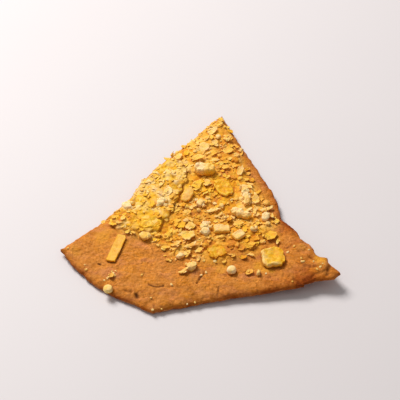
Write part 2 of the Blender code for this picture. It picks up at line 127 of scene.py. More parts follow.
TOPPING_PATCH = [
    (-45.0, -9.0), (-34.0, -17.5), (-19.0, -22.5), (-11.0, -33.5), (11.0, -34.5), (27.0, -26.0),
    (34.5, -13.0), (29.5, 4.0), (20.5, 26.0), (11.0, 60.0), (2.0, 57.0), (-38.0, 2.0),
]
TOPPING_FADE = 4.5
LAYER_HEIGHT = 0.75
LAYER_BUMP = 0.55
LAYER_BUMP_LENGTH = 5.0

GAP = 0.42
Piece = namedtuple("Piece", "name x y length width turn thick lift_left lift_right squareness")
PIECES = [
    Piece("cheese_shred", -36.8, -27.6, 15.6, 4.4, 72, 1.0, 0.0, 0.3, 9.0),
    Piece("cheese_slab", 32.9, -34.1, 10.4, 11.2, 10, 2.2, 0.2, 0.2, 3.4),
    Piece("cheese_stick", 19.1, -8.0, 10.4, 4.2, -25, 2.8, 0.1, 0.0, 3.0),
    Piece("cheese_chunk", 2.9, 19.4, 10.0, 5.6, -8, 4.1, 0.2, 0.0, 2.7),
    Piece("cheese_block", 10.4, -17.2, 7.5, 4.4, 3, 1.7, 0.2, 0.2, 7.0),
    Piece("cheese_tilted_flake", -5.2, 3.8, 8.6, 5.2, 66, 1.0, 0.3, 1.8, 2.3),
    Piece("cheese_round_flake", 11.6, 8.4, 11.6, 7.6, -62, 1.0, 0.1, 0.6, 2.3),
    Piece("cheese_wide_flake", -22.0, -13.9, 11.0, 6.2, 8, 1.5, 0.4, 0.4, 2.6),
    Piece("cheese_melted_flake", 8.2, -30.0, 8.8, 7.6, 25, 1.0, 0.1, 0.1, 3.2),
    Piece("cheese_wedge", 18.0, -21.0, 5.8, 4.6, 38, 1.8, 0.2, 0.2, 4.5),
]
PIECE_RIM_STEP = 1.4
PIECE_ROUNDING = 0.8
CLEARANCE = 0.55

# The fused crumbs of cheese. Those listed one by one have their looks with them. In all looks tint
# runs from 0, toasted tan, to 1, pale cream, and gild from 0, dull, to 1, bright yellow.
Crumb = namedtuple("Crumb", "kind x y radius height turn tilt tint gild", defaults=(None, None))
HAND_PLACED = [Crumb(*row) for row in (
    ("lump", 14.5, -40.8, 2.2, 2.9, 10, 0, 0.9, 0.25), ("lump", -39.6, -49.9, 2.2, 3.0, 0, 0, 0.95, 0.75),
    ("lump", -32.8, -2.0, 2.9, 2.6, 80, 0, 1.0, 0.2), ("lump", -17.2, -1.0, 2.9, 3.2, 70, 0, 1.0, 0.2),
    ("flake", -23.5, -2.5, 3.6, 1.6, 5, 8, 0.5, 1.0), ("flake", -15.5, 5.5, 3.5, 1.4, 30, 6, 0.86, 0.3),
    ("flake", -16.0, 18.0, 3.0, 1.3, 20, 5, 0.8, 0.45), ("flake", -10.0, 16.0, 2.9, 1.3, 60, 8, 0.74, 0.55),
    ("flake", -20.5, 14.5, 2.6, 1.3, 30, 6, 0.62, 0.9), ("flake", -25.0, 11.0, 2.5, 1.2, 50, 8, 0.84, 0.35),
    ("flake", -28.5, 4.5, 2.7, 1.2, 45, 4, 0.78, 0.45), ("flake", -23.5, 5.0, 2.5, 1.3, 0, 8, 0.8, 0.3),
    ("lump", -18.0, -7.5, 1.9, 1.6, 20, 0, 0.66, 0.9), ("lump", -24.0, -20.8, 2.9, 2.3, 0, 0, 0.76, 0.65),
    ("flake", -38.5, -11.5, 3.0, 0.8, 70, 0, 0.5, 0.85), ("flake", -34.0, -14.5, 2.0, 1.2, 20, 12, 0.66, 0.4),
    ("strip", -29.8, -18.3, 1.5, 1.0, -50, 8, 0.6, 0.4), ("flake", -11.5, 5.5, 2.5, 1.2, 90, 4, 0.66, 0.75),
    ("flake", -13.5, -5.5, 2.3, 1.2, 40, 6, 0.66, 0.6), ("lump", 0.8, -1.2, 2.7, 2.3, 60, 0, 0.78, 0.2),
    ("flake", -2.6, -3.2, 2.1, 1.2, 20, 8, 0.64, 0.15), ("strip", 6.5, -5.3, 2.6, 1.3, 8, 5, 0.76, 0.3),
    ("lump", 11.5, -10.0, 1.3, 1.3, 0, 0, 0.76, 0.35), ("lump", 3.2, -14.0, 2.4, 2.2, 80, 0, 0.92, 0.22),
    ("flake", 17.6, -13.4, 2.7, 1.2, 0, 6, 0.58, 0.45), ("lump", 25.0, -17.3, 2.2, 2.3, 15, 0, 0.84, 0.3),
    ("lump", 21.4, 7.5, 2.8, 2.5, 95, 0, 0.74, 0.15), ("lump", 22.0, -0.4, 2.6, 2.7, 80, 0, 0.78, 0.3),
    ("flake", 26.2, 1.0, 2.6, 1.5, 90, 8, 0.66, 0.4), ("strip", 25.7, -5.8, 1.9, 1.2, 85, 4, 0.72, 0.35),
    ("lump", 30.4, -9.3, 2.5, 2.4, 70, 0, 0.95, 0.15), ("lump", 30.8, -0.4, 2.1, 1.5, 0, 0, 0.48, 0.25),
    ("flake", -0.8, 10.8, 2.9, 1.5, 80, 8, 0.56, 0.95), ("flake", 3.6, 11.6, 2.4, 1.2, 70, 6, 0.6, 0.35),
    ("flake", -3.8, -15.0, 2.6, 1.4, 60, 8, 0.66, 0.6), ("flake", -5.0, -21.0, 3.6, 1.7, 5, 7, 0.66, 0.55),
    ("flake", -10.1, -26.2, 2.3, 1.7, 30, 10, 0.6, 0.25), ("strip", -3.9, -27.0, 2.3, 1.5, 15, 8, 0.6, 0.15),
    ("lump", -8.1, -32.8, 2.1, 1.9, 45, 0, 0.88, 0.15), ("flake", -5.0, -31.0, 2.0, 1.1, 30, 6, 0.64, 0.5),
    ("lump", -3.2, -38.7, 2.6, 2.6, 40, 0, 0.84, 0.45), ("strip", -6.9, -41.2, 2.0, 1.2, 25, 8, 0.66, 0.4),
    ("lump", 2.6, -26.4, 1.6, 1.3, 0, 0, 0.32, 0.6), ("flake", 0.2, -29.4, 1.9, 1.1, 40, 8, 0.58, 0.45),
    ("lump", 14.4, -26.0, 1.9, 0.9, 0, 0, 0.1, 0.2), ("flake", 22.8, -26.2, 3.3, 1.0, 0, 4, 0.36, 0.75),
    ("strip", 22.8, -31.5, 1.7, 0.9, -30, 6, 0.54, 0.35), ("flake", 32.2, -20.7, 3.4, 1.0, 10, 4, 0.42, 0.8),
    ("strip", 35.3, -24.6, 1.2, 0.7, 80, 0, 0.6, 0.4), ("flake", 2.5, 36.0, 3.4, 1.3, 90, 5, 0.76, 0.2),
    ("flake", 13.6, 41.4, 2.7, 1.8, 40, 12, 0.7, 0.3), ("flake", 7.8, 38.0, 2.6, 1.2, 70, 6, 0.68, 0.25),
    ("flake", 6.4, 46.4, 2.7, 1.3, 20, 8, 0.72, 0.2), ("flake", 9.6, 52.0, 2.0, 1.2, 0, 6, 0.66, 0.4),
    ("flake", -5.8, 31.5, 2.2, 1.2, 50, 5, 0.52, 1.0), ("flake", -0.8, 27.9, 3.1, 1.4, 0, 6, 0.68, 0.6),
    ("flake", 6.8, 31.2, 2.1, 1.2, 30, 6, 0.5, 0.65), ("strip", 7.2, 26.9, 2.0, 1.0, 0, 4, 0.72, 0.3),
    ("flake", 14.2, 33.6, 3.1, 1.3, 0, 6, 0.56, 0.35), ("lump", 16.9, 27.0, 2.2, 1.3, 80, 0, 0.08, 0.6),
    ("lump", 11.7, 27.5, 1.8, 1.4, 0, 0, 0.34, 0.4), ("flake", 12.6, 21.8, 2.0, 1.3, 0, 10, 0.5, 0.35),
    ("flake", 19.3, 19.3, 2.6, 1.6, 60, 18, 0.74, 0.25), ("flake", -10.0, 29.4, 2.3, 1.1, 30, 5, 0.74, 0.4),
    ("flake", -13.6, 25.3, 2.5, 1.1, 60, 5, 0.68, 0.55), ("flake", -7.8, -14.3, 2.7, 0.9, 80, 4, 0.44, 0.9),
    ("lump", -14.0, -20.6, 1.9, 1.4, 0, 0, 0.52, 0.75), ("flake", -5.4, -6.8, 2.5, 1.1, 40, 6, 0.52, 0.45),
    ("lump", 26.2, -42.6, 1.5, 2.0, 70, 0, 0.8, 0.25), ("flake", 22.3, -41.7, 2.0, 0.9, 0, 8, 0.45, 0.3),
    ("flake", -38.4, -43.0, 1.5, 0.9, 70, 8, 0.45, 0.2), ("lump", 46.0, -36.8, 1.0, 0.9, 0, 0, 0.75, 0.2),
    ("lump", 3.0, -18.7, 2.4, 2.6, 80, 0, 0.95, 0.2), ("lump", 21.8, 3.6, 2.3, 2.3, 60, 0, 0.9, 0.25),
)]
ROUND_CRUMBS = (0, 1)  # places in that list of the two that are round and whole
CRUMB_COUNT = 130
LARGEST, SMALLEST = 1.9, 1.0
DRAWN_KINDS = ("flake", "flake", "flake", "lump", "lump", "strip")
STEEPEST = 18.0
CRUMB_SIDES = 6
CLOSEST = 0.58
PILE_RISE = 0.34
TRIES = 30
SEED = 20

# ======== what the solids leave out ========

# Spacing of the points of the fine meshes
DOUGH_RIM_STEP = 0.5
DOUGH_TOP_STEP = 0.42
DOUGH_UNDER_STEP = 1.1
DOUGH_INSETS = (0.1, 0.28, 0.55, 0.95, 1.4, 2.0, 2.7)
EDGE_ROWS = 3  # rows of points in the upright part of the cut edge
PIECE_STEP = 0.3
PIECE_INSETS = (0.1, 0.3)
PIECE_ROWS = 2

# Fine relief of the dough: (height, wavelength) of each layer of it
DOUGH_GRAIN = ((0.34, 6.5), (0.30, 2.7), (0.28, 1.2))
UNDER_BUMP, UNDER_BUMP_LENGTH = 0.12, 2.5
CREASE_DEPTH, CREASE_LENGTH, CREASE_SHARE = 0.20, 5.0, 0.12
WRINKLED_X = (33.0, 44.0)  # where the wrinkles by the right tip begin and are full
WRINKLE_HEIGHT, WRINKLE_LENGTH = 0.75, 3.4
EDGE_ROUGHNESS, EDGE_ROUGH_LENGTH = 0.30, 1.7
EDGE_ROUGH_WIDTH = 1.6
NICK_DEPTH, NICK_LENGTH = 0.45, 3.1

# Relief of the fine cheese baked onto the dough: flakes that overlap, each at its own slant.
# (size of a flake, how far it may stand up) of each layer of them
FLAKE_LAYERS = ((3.3, 0.50), (1.5, 0.20))
FLAKE_SLANT = 0.20
FLAKE_WARP, FLAKE_WARP_LENGTH = 0.9, 2.2  # how far their outlines stray from straight lines
FLAKE_SEAM = 0.10  # share of a flake's size over which it drops to its neighbour

# The raft of cheese melted together on the left, which ends on the right in a small step
RAFT = [
    (-42.0, -8.0), (-36.5, -16.0), (-27.5, -18.5), (-17.5, -18.0), (-16.2, -14.0), (-14.6, -10.4),
    (-12.4, -7.6), (-11.2, -3.0), (-9.2, 2.0), (-8.6, 6.0), (-6.0, 12.0), (-5.5, 21.0), (-11.0, 30.0),
    (-16.0, 31.0), (-40.0, 0.0),
]
RAFT_HEIGHT, RAFT_STEP = 1.00, 0.5  # the step's height and width
RAFT_UNEVEN, RAFT_UNEVEN_LENGTH = 1.5, 3.0  # how far its outline wanders
RAFT_DOMES = ((4.4, 0.65), (2.0, 0.30))  # (size, height) of the soft lumps that it is made of
RAFT_CREASE_SHADE = 0.15  # share of a lump's size that the painted shade in the crease round it takes up
RAFT_FLAKES = 0.50  # share of the loose flakes' relief that still shows on it
RAFT_MIDDLE, RAFT_FACING = (-26.0, 11.0), (0.775, -0.632)  # and the way its stepped side faces
CONTACT_WIDTH = 0.40  # how far the painted contact shade and stain reach round a piece of cheese

# Cracks, creases and holes in the crust: points along them, half width, depth, and darkness of the painted
# shade in them
CRACKS = (
    ([(-21.8, -47.8), (-19.6, -48.9), (-17.4, -49.2), (-15.4, -48.8)], 0.40, 0.45, 0.90),
    ([(-19.2, -47.6), (-17.2, -48.1), (-15.2, -48.3)], 0.28, 0.25, 0.50),
    ([(2.3, -41.8), (1.2, -43.0), (0.2, -45.0)], 0.50, 0.70, 0.80),
    ([(0.2, -45.0), (-0.8, -47.0)], 0.36, 0.50, 0.62),
    ([(8.7, -49.6), (8.5, -51.8), (8.1, -54.0)], 0.42, 0.40, 0.72),
    ([(41.4, -46.2), (44.0, -48.4), (46.0, -49.6)], 0.55, 0.40, 0.45),
    ([(57.7, -39.8), (56.8, -41.8), (56.3, -44.4)], 0.90, 1.1, 0.66),
    ([(56.8, -41.8), (54.6, -43.2), (51.0, -43.8)], 0.60, 0.7, 0.45),
    ([(-44.4, -35.4), (-43.5, -36.0)], 0.48, 0.5, 0.95),
    ([(-32.0, -50.4), (-30.6, -51.2), (-29.4, -51.4)], 0.60, 0.6, 0.50),
    ([(-27.0, -52.7), (-26.8, -54.0)], 0.88, 1.0, 1.0),
    ([(43.0, -36.6), (46.5, -39.3), (50.5, -40.2)], 0.6, 0.45, 0.3),
    ([(49.0, -33.6), (52.0, -36.2)], 0.5, 0.5, 0.4),
    ([(37.6, -33.5), (39.0, -36.6)], 0.6, 0.4, 0.4),
)
PIT_COUNT = 150
PIT_SIZES = (0.35, 0.95)
PIT_DEPTH = 0.22

# Where cheese has melted flat into the dough: x, y, reach, strength
MELTS = (
    (28.4, -38.4, 5.4, 0.75), (8.0, -31.0, 6.4, 0.7), (22.8, -29.6, 4.8, 0.6), (33.0, -21.5, 4.8, 0.7),
    (-43.0, -19.0, 5.0, 0.45), (11.0, -38.0, 4.2, 0.6), (54.2, -36.0, 4.6, 0.80),
    (45.5, -28.0, 3.6, 0.30), (-36.0, -25.0, 6.0, 0.35), (-55.0, -28.0, 3.4, 0.25),
)

# Where the topping has melted together softly, with few shadows in it: x, y, reach, strength
CALM_PLACES = (
    (6.5, 39.0, 17.0, 1.0), (24.0, 1.5, 12.0, 0.7), (-24.0, -6.0, 12.0, 0.6), (14.0, 20.0, 9.0, 0.8),
)
CALM_FILL = 0.38  # how high melted cheese fills the gaps there

# How deeply each part of the crust is browned
BROWNED = {
    "edge": 0.43, "rim": 0.30, "front": 0.14, "right": 0.17, "upper strip": 0.32, "lower strip": 0.19,
    "front corner": 0.266,
}
PALER_TIP = 0.34  # share of the browning that the right tip lacks
SIDE_BROWNING = 0.75  # least browning of the upright edge and the underside

# How the cheese is coloured over the biscuit: x, y, reach, tint, gild
ZONES = (
    (-22.0, 10.0, 9.0, 0.80, 0.55), (-31.5, -2.5, 5.0, 0.92, 0.35), (-24.5, -2.0, 5.0, 0.50, 1.00),
    (-16.5, 1.0, 4.0, 0.98, 0.30), (-22.0, -14.5, 6.0, 0.55, 0.95), (-39.0, -14.0, 7.0, 0.42, 0.65),
    (-31.0, -13.0, 6.0, 0.45, 0.65), (-11.0, 17.0, 7.0, 0.80, 0.50), (-11.0, -5.0, 6.0, 0.42, 0.60),
    (-4.0, -8.0, 7.0, 0.30, 0.35), (-2.0, -23.5, 6.0, 0.40, 0.25), (-8.5, -23.5, 5.0, 0.52, 0.45),
    (-9.5, -16.0, 5.0, 0.40, 0.80), (5.0, -5.0, 6.0, 0.50, 0.30), (12.0, 1.0, 5.0, 0.45, 0.95),
    (12.0, 10.0, 6.0, 0.35, 0.90), (7.5, -20.5, 6.0, 0.50, 0.35), (19.0, 4.0, 5.0, 0.70, 0.30),
    (26.0, 1.0, 5.0, 0.64, 0.40), (29.0, -8.0, 5.0, 0.56, 0.40), (23.0, -23.5, 6.0, 0.35, 0.70),
    (16.0, -26.5, 4.0, 0.12, 0.20), (3.0, 33.5, 7.0, 0.74, 0.35), (-5.0, 33.5, 6.0, 0.60, 0.70),
    (3.0, 47.0, 7.0, 0.60, 0.45), (9.0, 54.0, 6.0, 0.52, 0.40), (14.0, 33.5, 6.0, 0.40, 0.30),
    (17.5, 20.0, 6.0, 0.32, 0.50), (-1.5, 10.5, 5.0, 0.45, 0.95), (-4.0, -36.5, 6.0, 0.45, 0.20),
)
BETWEEN_TINT, BETWEEN_GILD = 0.50, 0.60  # what shows where no zone is near
BETWEEN_SHARE = 0.12

# Small grains on the bare dough: x, y, radius
LONE_GRAINS = (
    (-50.4, -36.1, 0.6), (-49.8, -38.5, 0.8), (-58.5, -26.7, 0.55), (-24.9, -42.5, 0.75),
    (-11.9, -48.2, 0.8), (-20.7, -55.0, 0.5), (-20.0, -60.6, 0.7), (-16.0, -60.0, 0.5),
    (-1.6, -56.6, 0.55), (2.4, -34.8, 0.9), (7.3, -34.9, 1.0), (45.4, -35.0, 0.8),
    (-37.6, -41.8, 0.9), (-39.4, -43.6, 0.8), (-36.6, -40.4, 0.6), (-41.4, -45.0, 0.6),
    (29.6, -42.4, 0.6), (-12.4, -35.0, 0.7), (3.2, -41.2, 0.8), (1.2, -42.8, 0.7),
    (39.6, -30.8, 0.9), (49.0, -29.6, 0.6), (41.0, -47.6, 0.5), (-5.0, -57.4, 0.5),
    (53.4, -40.6, 0.9), (52.0, -41.8, 0.7), (54.4, -39.2, 0.7), (50.6, -37.4, 0.6), (42.6, -27.0, 0.7),
    (-37.0, -42.8, 0.7), (-40.2, -44.2, 0.7), (-38.2, -40.6, 0.6),
)
GRAIN_SIDES = 7
GRAIN_RINGS = ((0.8, -0.3), (1.0, 0.2), (0.7, 0.62))
GRAIN_TINTS, GRAIN_GILD = (0.60, 1.00), 0.3

# How each big piece looks. finish and slot say what it is of, coarse and fine are heights of its
# lumps, dish is how far its rim stands above its middle, and torn is how deeply its outline is
# bitten.
Look = namedtuple("Look", "finish slot tint gild coarse fine dish torn")
LOOKS = {
    "cheese_shred": Look("dry", "yellow_cheese", 0.56, 0.45, 0.10, 0.05, 0.04, 0.02),
    "cheese_slab": Look("molten", "yellow_cheese", 0.50, 1.00, 0.50, 0.14, 0.10, 0.50),
    "cheese_stick": Look("dry", "pale_cheese", 0.86, 0.12, 1.00, 0.35, -0.1, 0.70),
    "cheese_chunk": Look("dry", "pale_cheese", 0.93, 0.05, 0.60, 0.25, -0.2, 0.50),
    "cheese_block": Look("dry", "pale_cheese", 0.74, 0.10, 0.20, 0.10, 0.06, 0.10),
    "cheese_tilted_flake": Look("dry", "pale_cheese", 0.57, 0.22, 0.35, 0.12, 0.20, 0.40),
    "cheese_round_flake": Look("molten", "yellow_cheese", 0.40, 0.85, 0.55, 0.22, 0.24, 0.40),
    "cheese_wide_flake": Look("dry", "yellow_cheese", 0.62, 0.90, 0.85, 0.25, 0.10, 0.70),
    "cheese_melted_flake": Look("molten", "yellow_cheese", 0.36, 0.85, 0.40, 0.12, 0.00, 1.20),
    "cheese_wedge": Look("dry", "pale_cheese", 0.78, 0.15, 0.30, 0.10, 0.02, 0.15),
}
SIDE_SHADE, SIDE_GILD = 0.14, 0.50  # how much deeper and more golden than its top its side is, as painted shade
FOOT_SHADOW = 0.60  # painted shadow: how much deeper still the foot of its side is
FOOT_ROWS = (0.18, 0.55)  # shares of that on the rows of points in its side, from the top down
SETTLE = 0.34  # how far a piece's underside sags towards the dough

# What each kind of crumb is like: how high and how far it reaches for its radius, how ragged its
# outline is and how often it is rounded off, the wavelengths of its lumps, how steeply it rises
# towards +X and -Y, so that its other side lies buried, how far up it the painted shade of its foot
# reaches, how much paler than its place it is, and its rings from the foot up, as (share of the
# outline, share of the height)
Kind = namedtuple("Kind", "height_share reach ragged roundings waves shingle shaded paler rings")
KINDS = {
    "flake": Kind(0.42, 1.0, (0.84, 1.08), 1, (0.9, 0.4), 0.15, 0.66, 0.0, (
        (0.50, -0.10), (0.60, 0.30), (0.93, 0.64), (1.0, 0.80),
        (0.98, 0.93), (0.88, 1.02), (0.60, 0.95), (0.28, 0.90),
    )),
    "lump": Kind(0.85, 1.0, (0.93, 1.05), 3, (0.8, 0.35), 0.0, 0.48, 0.16, (
        (0.72, -0.30), (0.90, -0.05), (1.0, 0.36), (1.0, 0.62),
        (0.94, 0.82), (0.80, 0.94), (0.54, 1.0), (0.25, 1.0),
    )),
    "strip": Kind(0.42, 1.35, (0.88, 1.06), 1, (0.9, 0.4), 0.13, 0.66, 0.02, (
        (0.60, -0.10), (0.80, 0.20), (0.97, 0.60), (1.0, 0.80),
        (0.95, 0.94), (0.76, 1.02), (0.46, 0.96), (0.2, 0.93),
    )),
}
BALL_RINGS = ((0.62, -0.02), (0.88, 0.20), (0.99, 0.45), (0.93, 0.68), (0.72, 0.88), (0.35, 0.98))
CORNER_POINTS = 4  # points of a crumb's outline for each of its corners
CURL = (-0.10, 0.22)  # least and most that the ends of a flake or strip curl up, for its radius
FOOT_SHADE, FOOT_GILD = 0.60, 0.60  # painted shade: how much deeper and more golden than its crown its foot is
RIM_LIGHT = 0.20  # painted light: how much paler its rim is, as a share of that
TINT_STRAY, GILD_STRAY = 0.13, 0.2  # how far a scattered crumb's look strays from its zone's

# Smaller broken bits that stick to a crumb: nuggets to a lump, and shards to the others. The
# sizes are shares of the crumb's radius, and height is how far up the crumb they sit.
Bits = namedtuple("Bits", "count size long short uneven sides cuts lean away height rings")
BIT_RINGS = ((0.70, -0.70), (1.0, -0.15), (0.96, 0.40), (0.62, 0.72))
SHARD_RINGS = ((0.80, -0.16), (1.0, 0.0), (0.93, 0.16))
NUGGETS = Bits((1, 3), (0.28, 0.50), (1.0, 1.3), 0.85, 0.30, 8, 4, 1.2, (0.35, 0.75), (0.25, 0.66), BIT_RINGS)
SHARDS = Bits((0, 2), (0.35, 0.60), (1.0, 1.4), 0.8, 0.35, 9, 0, 0.5, (0.3, 0.85), (0.45, 0.95), SHARD_RINGS)
SHARD_THICKNESS = 0.75  # of a shard, for its crumb's height

# Broken bits that fill the gaps in the biggest clumps: x, y, height above the dough, radius
FILLING = (
    (1.6, -16.3, 1.5, 1.5), (4.6, -16.4, 1.3, 1.5), (3.0, -16.0, 2.1, 1.3), (1.2, -19.0, 1.0, 1.1),
    (4.9, -13.2, 0.9, 1.0), (23.2, 1.8, 1.4, 1.1), (20.4, 5.4, 1.5, 1.1), (22.6, 5.8, 1.6, 1.2),
    (-15.4, -2.6, 1.2, 1.4), (-19.0, 0.6, 1.2, 1.2), (-30.8, -3.6, 1.0, 1.2), (-34.2, -0.2, 0.8, 1.0),
    (31.6, -7.9, 1.1, 1.0), (-1.0, 0.6, 1.1, 1.1), (-5.2, -37.4, 0.6, 0.9), (-15.4, -0.2, 2.0, 1.4),
    (-18.4, -2.8, 1.5, 1.2), (-30.6, -1.0, 1.5, 1.3),
)
FILLING_SIDES = 10
FILLING_TINT, FILLING_GILD = 0.92, 0.22
FILLING_SHADE, FILLING_SHADED = 0.5, 1.6  # painted shade: how much deeper it is this far below its crown

# Crumbs too small for the solids: density is how many lie on each square metre, rise is how far
# one may lie above the dough, and spacing, the sizes and rise are in millimetres. half_widths,
# curl and bend, which is sideways, are for a radius of 1, and so are the rings.
Scatter = namedtuple(
    "Scatter",
    "name seed spacing density smallest largest skew lean rise sides half_widths curl bend rings",
)
SCATTERS = (
    Scatter(
        "small_flakes", 3, 1.5, 400000, 0.7, 1.9, 1.4, 0.20, 0.3, 9, (0.55, 0.9), 0.16, 0.0,
        ((0.86, -0.10), (1.0, 0.03), (0.93, 0.14), (0.45, 0.09)),
    ),
    Scatter(
        "shavings", 21, 2.0, 130000, 0.9, 1.9, 1.2, 0.30, 0.5, 10, (0.16, 0.28), 0.30, 0.32,
        ((0.90, -0.06), (1.0, 0.04), (0.80, 0.13)),
    ),
    Scatter(
        "small_crumbs", 8, 1.6, 95000, 0.40, 0.90, 1.7, 0.6, 0.4, 6, (0.55, 0.9), 0.0, 0.0,
        ((0.80, -0.40), (1.0, 0.00), (0.70, 0.42)),
    ),
    Scatter(
        "fine_grains", 14, 1.0, 65000, 0.18, 0.42, 1.5, 1.5, 0.2, 5, (0.55, 0.9), 0.0, 0.0,
        ((0.85, -0.30), (0.80, 0.50)),
    ),
)
SCATTER_SHINGLE = (-0.22, -0.22, 0.0)  # a turn that raises their lower right sides
SCATTER_TOAST = 0.6
TINT_SPREAD = 0.26  # how far a small crumb's tint strays from its neighbours'
PROTOTYPES = 7
ON_CRUMBS = 0.10  # how thickly small crumbs lie on the fused ones, for how they lie on the dough
TOP_MARGIN = 1.3  # how far below the solids' top they stay
# Smooth places of the topping, where hardly any small crumbs lie: x, y, reach
SMOOTH_PLACES = (
    (14.6, 10.9, 3.6), (17.0, 5.0, 2.6), (7.1, 1.6, 3.6), (11.5, 1.6, 2.8), (16.4, -27.9, 5.5),
    (9.0, -24.5, 3.0), (2.0, -31.5, 3.5), (26.5, -30.0, 4.0), (24.0, -20.5, 3.0), (-8.5, -10.5, 3.2),
    (-13.5, -14.0, 2.6), (20.5, 13.5, 3.4), (23.5, 20.0, 3.4), (-1.0, -5.5, 2.4), (8.5, -12.5, 2.4),
    (30.0, -15.0, 3.0), (28.5, 7.5, 4.0), (11.0, 24.5, 2.6), (19.8, 28.5, 3.0), (33.5, -3.5, 3.0),
    (-2.5, 16.0, 2.6),
)

# ---- colours (linear) ----

# What the crust's colour is multiplied by, from unbrowned to darkest
BROWNING_RAMP = (
    (0.00, (1.00, 1.00, 1.00)),
    (0.35, (0.86, 0.77, 0.64)),
    (0.70, (0.66, 0.46, 0.26)),
    (1.00, (0.45, 0.24, 0.09)),
)
# Colour of dull and of bright yellow cheese by its tint, from toasted to pale
DULL_RAMP = (
    (0.00, (0.560, 0.185, 0.016)),
    (0.30, (0.760, 0.335, 0.045)),
    (0.60, (0.855, 0.480, 0.120)),
    (1.00, (0.925, 0.675, 0.350)),
)
GILDED_RAMP = (
    (0.00, (0.680, 0.240, 0.008)),
    (0.30, (0.810, 0.368, 0.010)),
    (0.60, (0.870, 0.496, 0.033)),
    (1.00, (0.900, 0.598, 0.150)),
)
DEEP_CRUST, LIGHT_CRUST = (0.500, 0.158, 0.0100), (0.690, 0.258, 0.042)
STREAK_TURN = 0.35  # of the rolled dough's faint streaks, in radians
# Patches of another colour in the crust, each laid over those before it: noise (wavelength,
# detail, roughness, stretch), where in the noise it begins and is full, share, colour
CRUST_PATCHES = (
    ((11.0, 2.0), 0.42, 0.66, 0.75, (0.650, 0.222, 0.006)),
    ((5.5, 3.0, 0.6, (0.6, 1.0, 1.3)), 0.50, 0.66, 0.65, (0.590, 0.215, 0.098)),
    ((0.9, 4.0, 0.6, (0.28, 1.0, 1.0)), 0.36, 0.64, 0.50, (0.690, 0.290, 0.075)),
    ((1.1, 4.0, 0.7), 0.54, 0.70, 0.70, (0.380, 0.110, 0.012)),
    # painted glints: small pale specks that stand in for highlights
    ((0.7, 3.0, 0.7), 0.46, 0.34, 0.45, (0.800, 0.370, 0.085)),
)
# The rolled and baked surface's darker and lighter spots, and where it is smooth
ROLLED_DARK, ROLLED_LIGHT, ROLLED_SMOOTH = (0.77, 0.71, 0.63), (1.38, 1.37, 1.35), (1.04, 1.03, 1.02)
MELT_COLOUR = (0.800, 0.360, 0.030)
# Painted shade in the topping's seams and creases, under the raft's ledge and round the pieces of cheese
CREASE_SHADE_COLOUR = (0.300, 0.080, 0.004)
CRACK_SHADE_COLOUR = (0.095, 0.026, 0.005)
LIP_COLOUR = (0.66, 0.34, 0.15)
SCORCHED_COLOUR = (0.560, 0.190, 0.028)
RIM_HIGHLIGHT_TINT = 0.14  # painted highlight: how much paler a small flake's rim is than its middle

# ---- the photograph's camera, the light and the floor ----
CAMERA_ELEVATION = 47.0
CAMERA_DISTANCE = 700.0
PIXEL = 0.465  # width on the biscuit that one pixel of the picture covers
PICTURE_WIDTH = 400
SENSOR_WIDTH = 36.0
AIM = (0.6, 7.1, 0.0)
WINDOW_PLACE, WINDOW_SIZE = (-0.42, 0.52, 0.78), 0.42  # in metres
WINDOW_POWER, WINDOW_COLOUR = 11.8, (1.0, 0.985, 0.97)
ROOM_LIGHT, ROOM_COLOUR = 0.36, (1.0, 0.98, 0.975)
FLOOR_SIZE = 4.0  # in metres
FLOOR_COLOURS = (0.69, 0.648, 0.648), (0.71, 0.665, 0.665)


# ======== curves and distances in the plane ========


def ease(value):
    """0 up to 0, 1 from 1 on, and a smooth step between."""
    value = np.clip(value, 0.0, 1.0)
    return value * value * (3.0 - 2.0 * value)


def rising(value, start, full):
    """0 at start, 1 at full and beyond, and a smooth step between. Either may be the lower."""
    return ease((value - start) / (full - start))


def rotated(x, y, turn):
    return x * math.cos(turn) - y * math.sin(turn), x * math.sin(turn) + y * math.cos(turn)


def through(points, step):
    """Points about one step apart along a smooth curve through these points, without the last."""
    points = [np.array(p) for p in points]
    ends = [2 * points[0] - points[1], *points, 2 * points[-1] - points[-2]]
    walked = []
    for before, start, end, after in zip(ends, ends[1:], ends[2:], ends[3:]):
        pieces = max(1, round(float(np.linalg.norm(end - start)) / step))
        for k in range(pieces):
            t = k / pieces
            walked.append(
                0.5
                * (
                    2 * start
                    + (end - before) * t
                    + (2 * before - 5 * start + 4 * end - after) * t**2
                    + (3 * start - before - 3 * end + after) * t**3
                )
            )
    return walked


def outward_normals(rim):
    """The outline runs counter-clockwise, so outside lies to the right of its run."""
    along = np.roll(rim, -1, axis=0) - np.roll(rim, 1, axis=0)
    along /= np.linalg.norm(along, axis=1)[:, None]
    return np.stack([along[:, 1], -along[:, 0]], axis=1)


def field(x, y, length, layer=0.0):
    """Smooth noise of about this wavelength at each point, mostly within -0.5 to 0.5."""
    spots = zip(np.ravel(x) / length, np.ravel(y) / length)
    return np.array([noise.noise(Vector((across, along, layer))) for across, along in spots])


def biscuit_rim(step):
    rim = np.array([point for side in SIDES for point in through(side, step)])
    wobble = EDGE_WOBBLE * field(rim[:, 0], rim[:, 1], EDGE_WOBBLE_LENGTH, 3.0)
    return rim + outward_normals(rim) * wobble[:, None]


def depth_inside(points, rim):
    """How far each point lies inside a closed outline, and below zero if outside it."""
    points = np.atleast_2d(np.asarray(points, float))
    start, end = rim, np.roll(rim, -1, axis=0)
    along = end - start
    to_point = points[:, None, :] - start[None]
    share = np.clip((to_point * along).sum(2) / (along * along).sum(1), 0.0, 1.0)
    distance = np.linalg.norm(to_point - share[..., None] * along, axis=2).min(1)
    above = points[:, None, 1] < np.stack([start[:, 1], end[:, 1]], axis=1).max(1)
    above &= points[:, None, 1] >= np.stack([start[:, 1], end[:, 1]], axis=1).min(1)
    rise = np.where(np.abs(along[:, 1]) < 1e-9, 1e-9, along[:, 1])
    crossing = start[:, 0] + to_point[..., 1] / rise * along[:, 0]
    inside = (above & (points[:, None, 0] < crossing)).sum(1) % 2 == 1
    return np.where(inside, distance, -distance)


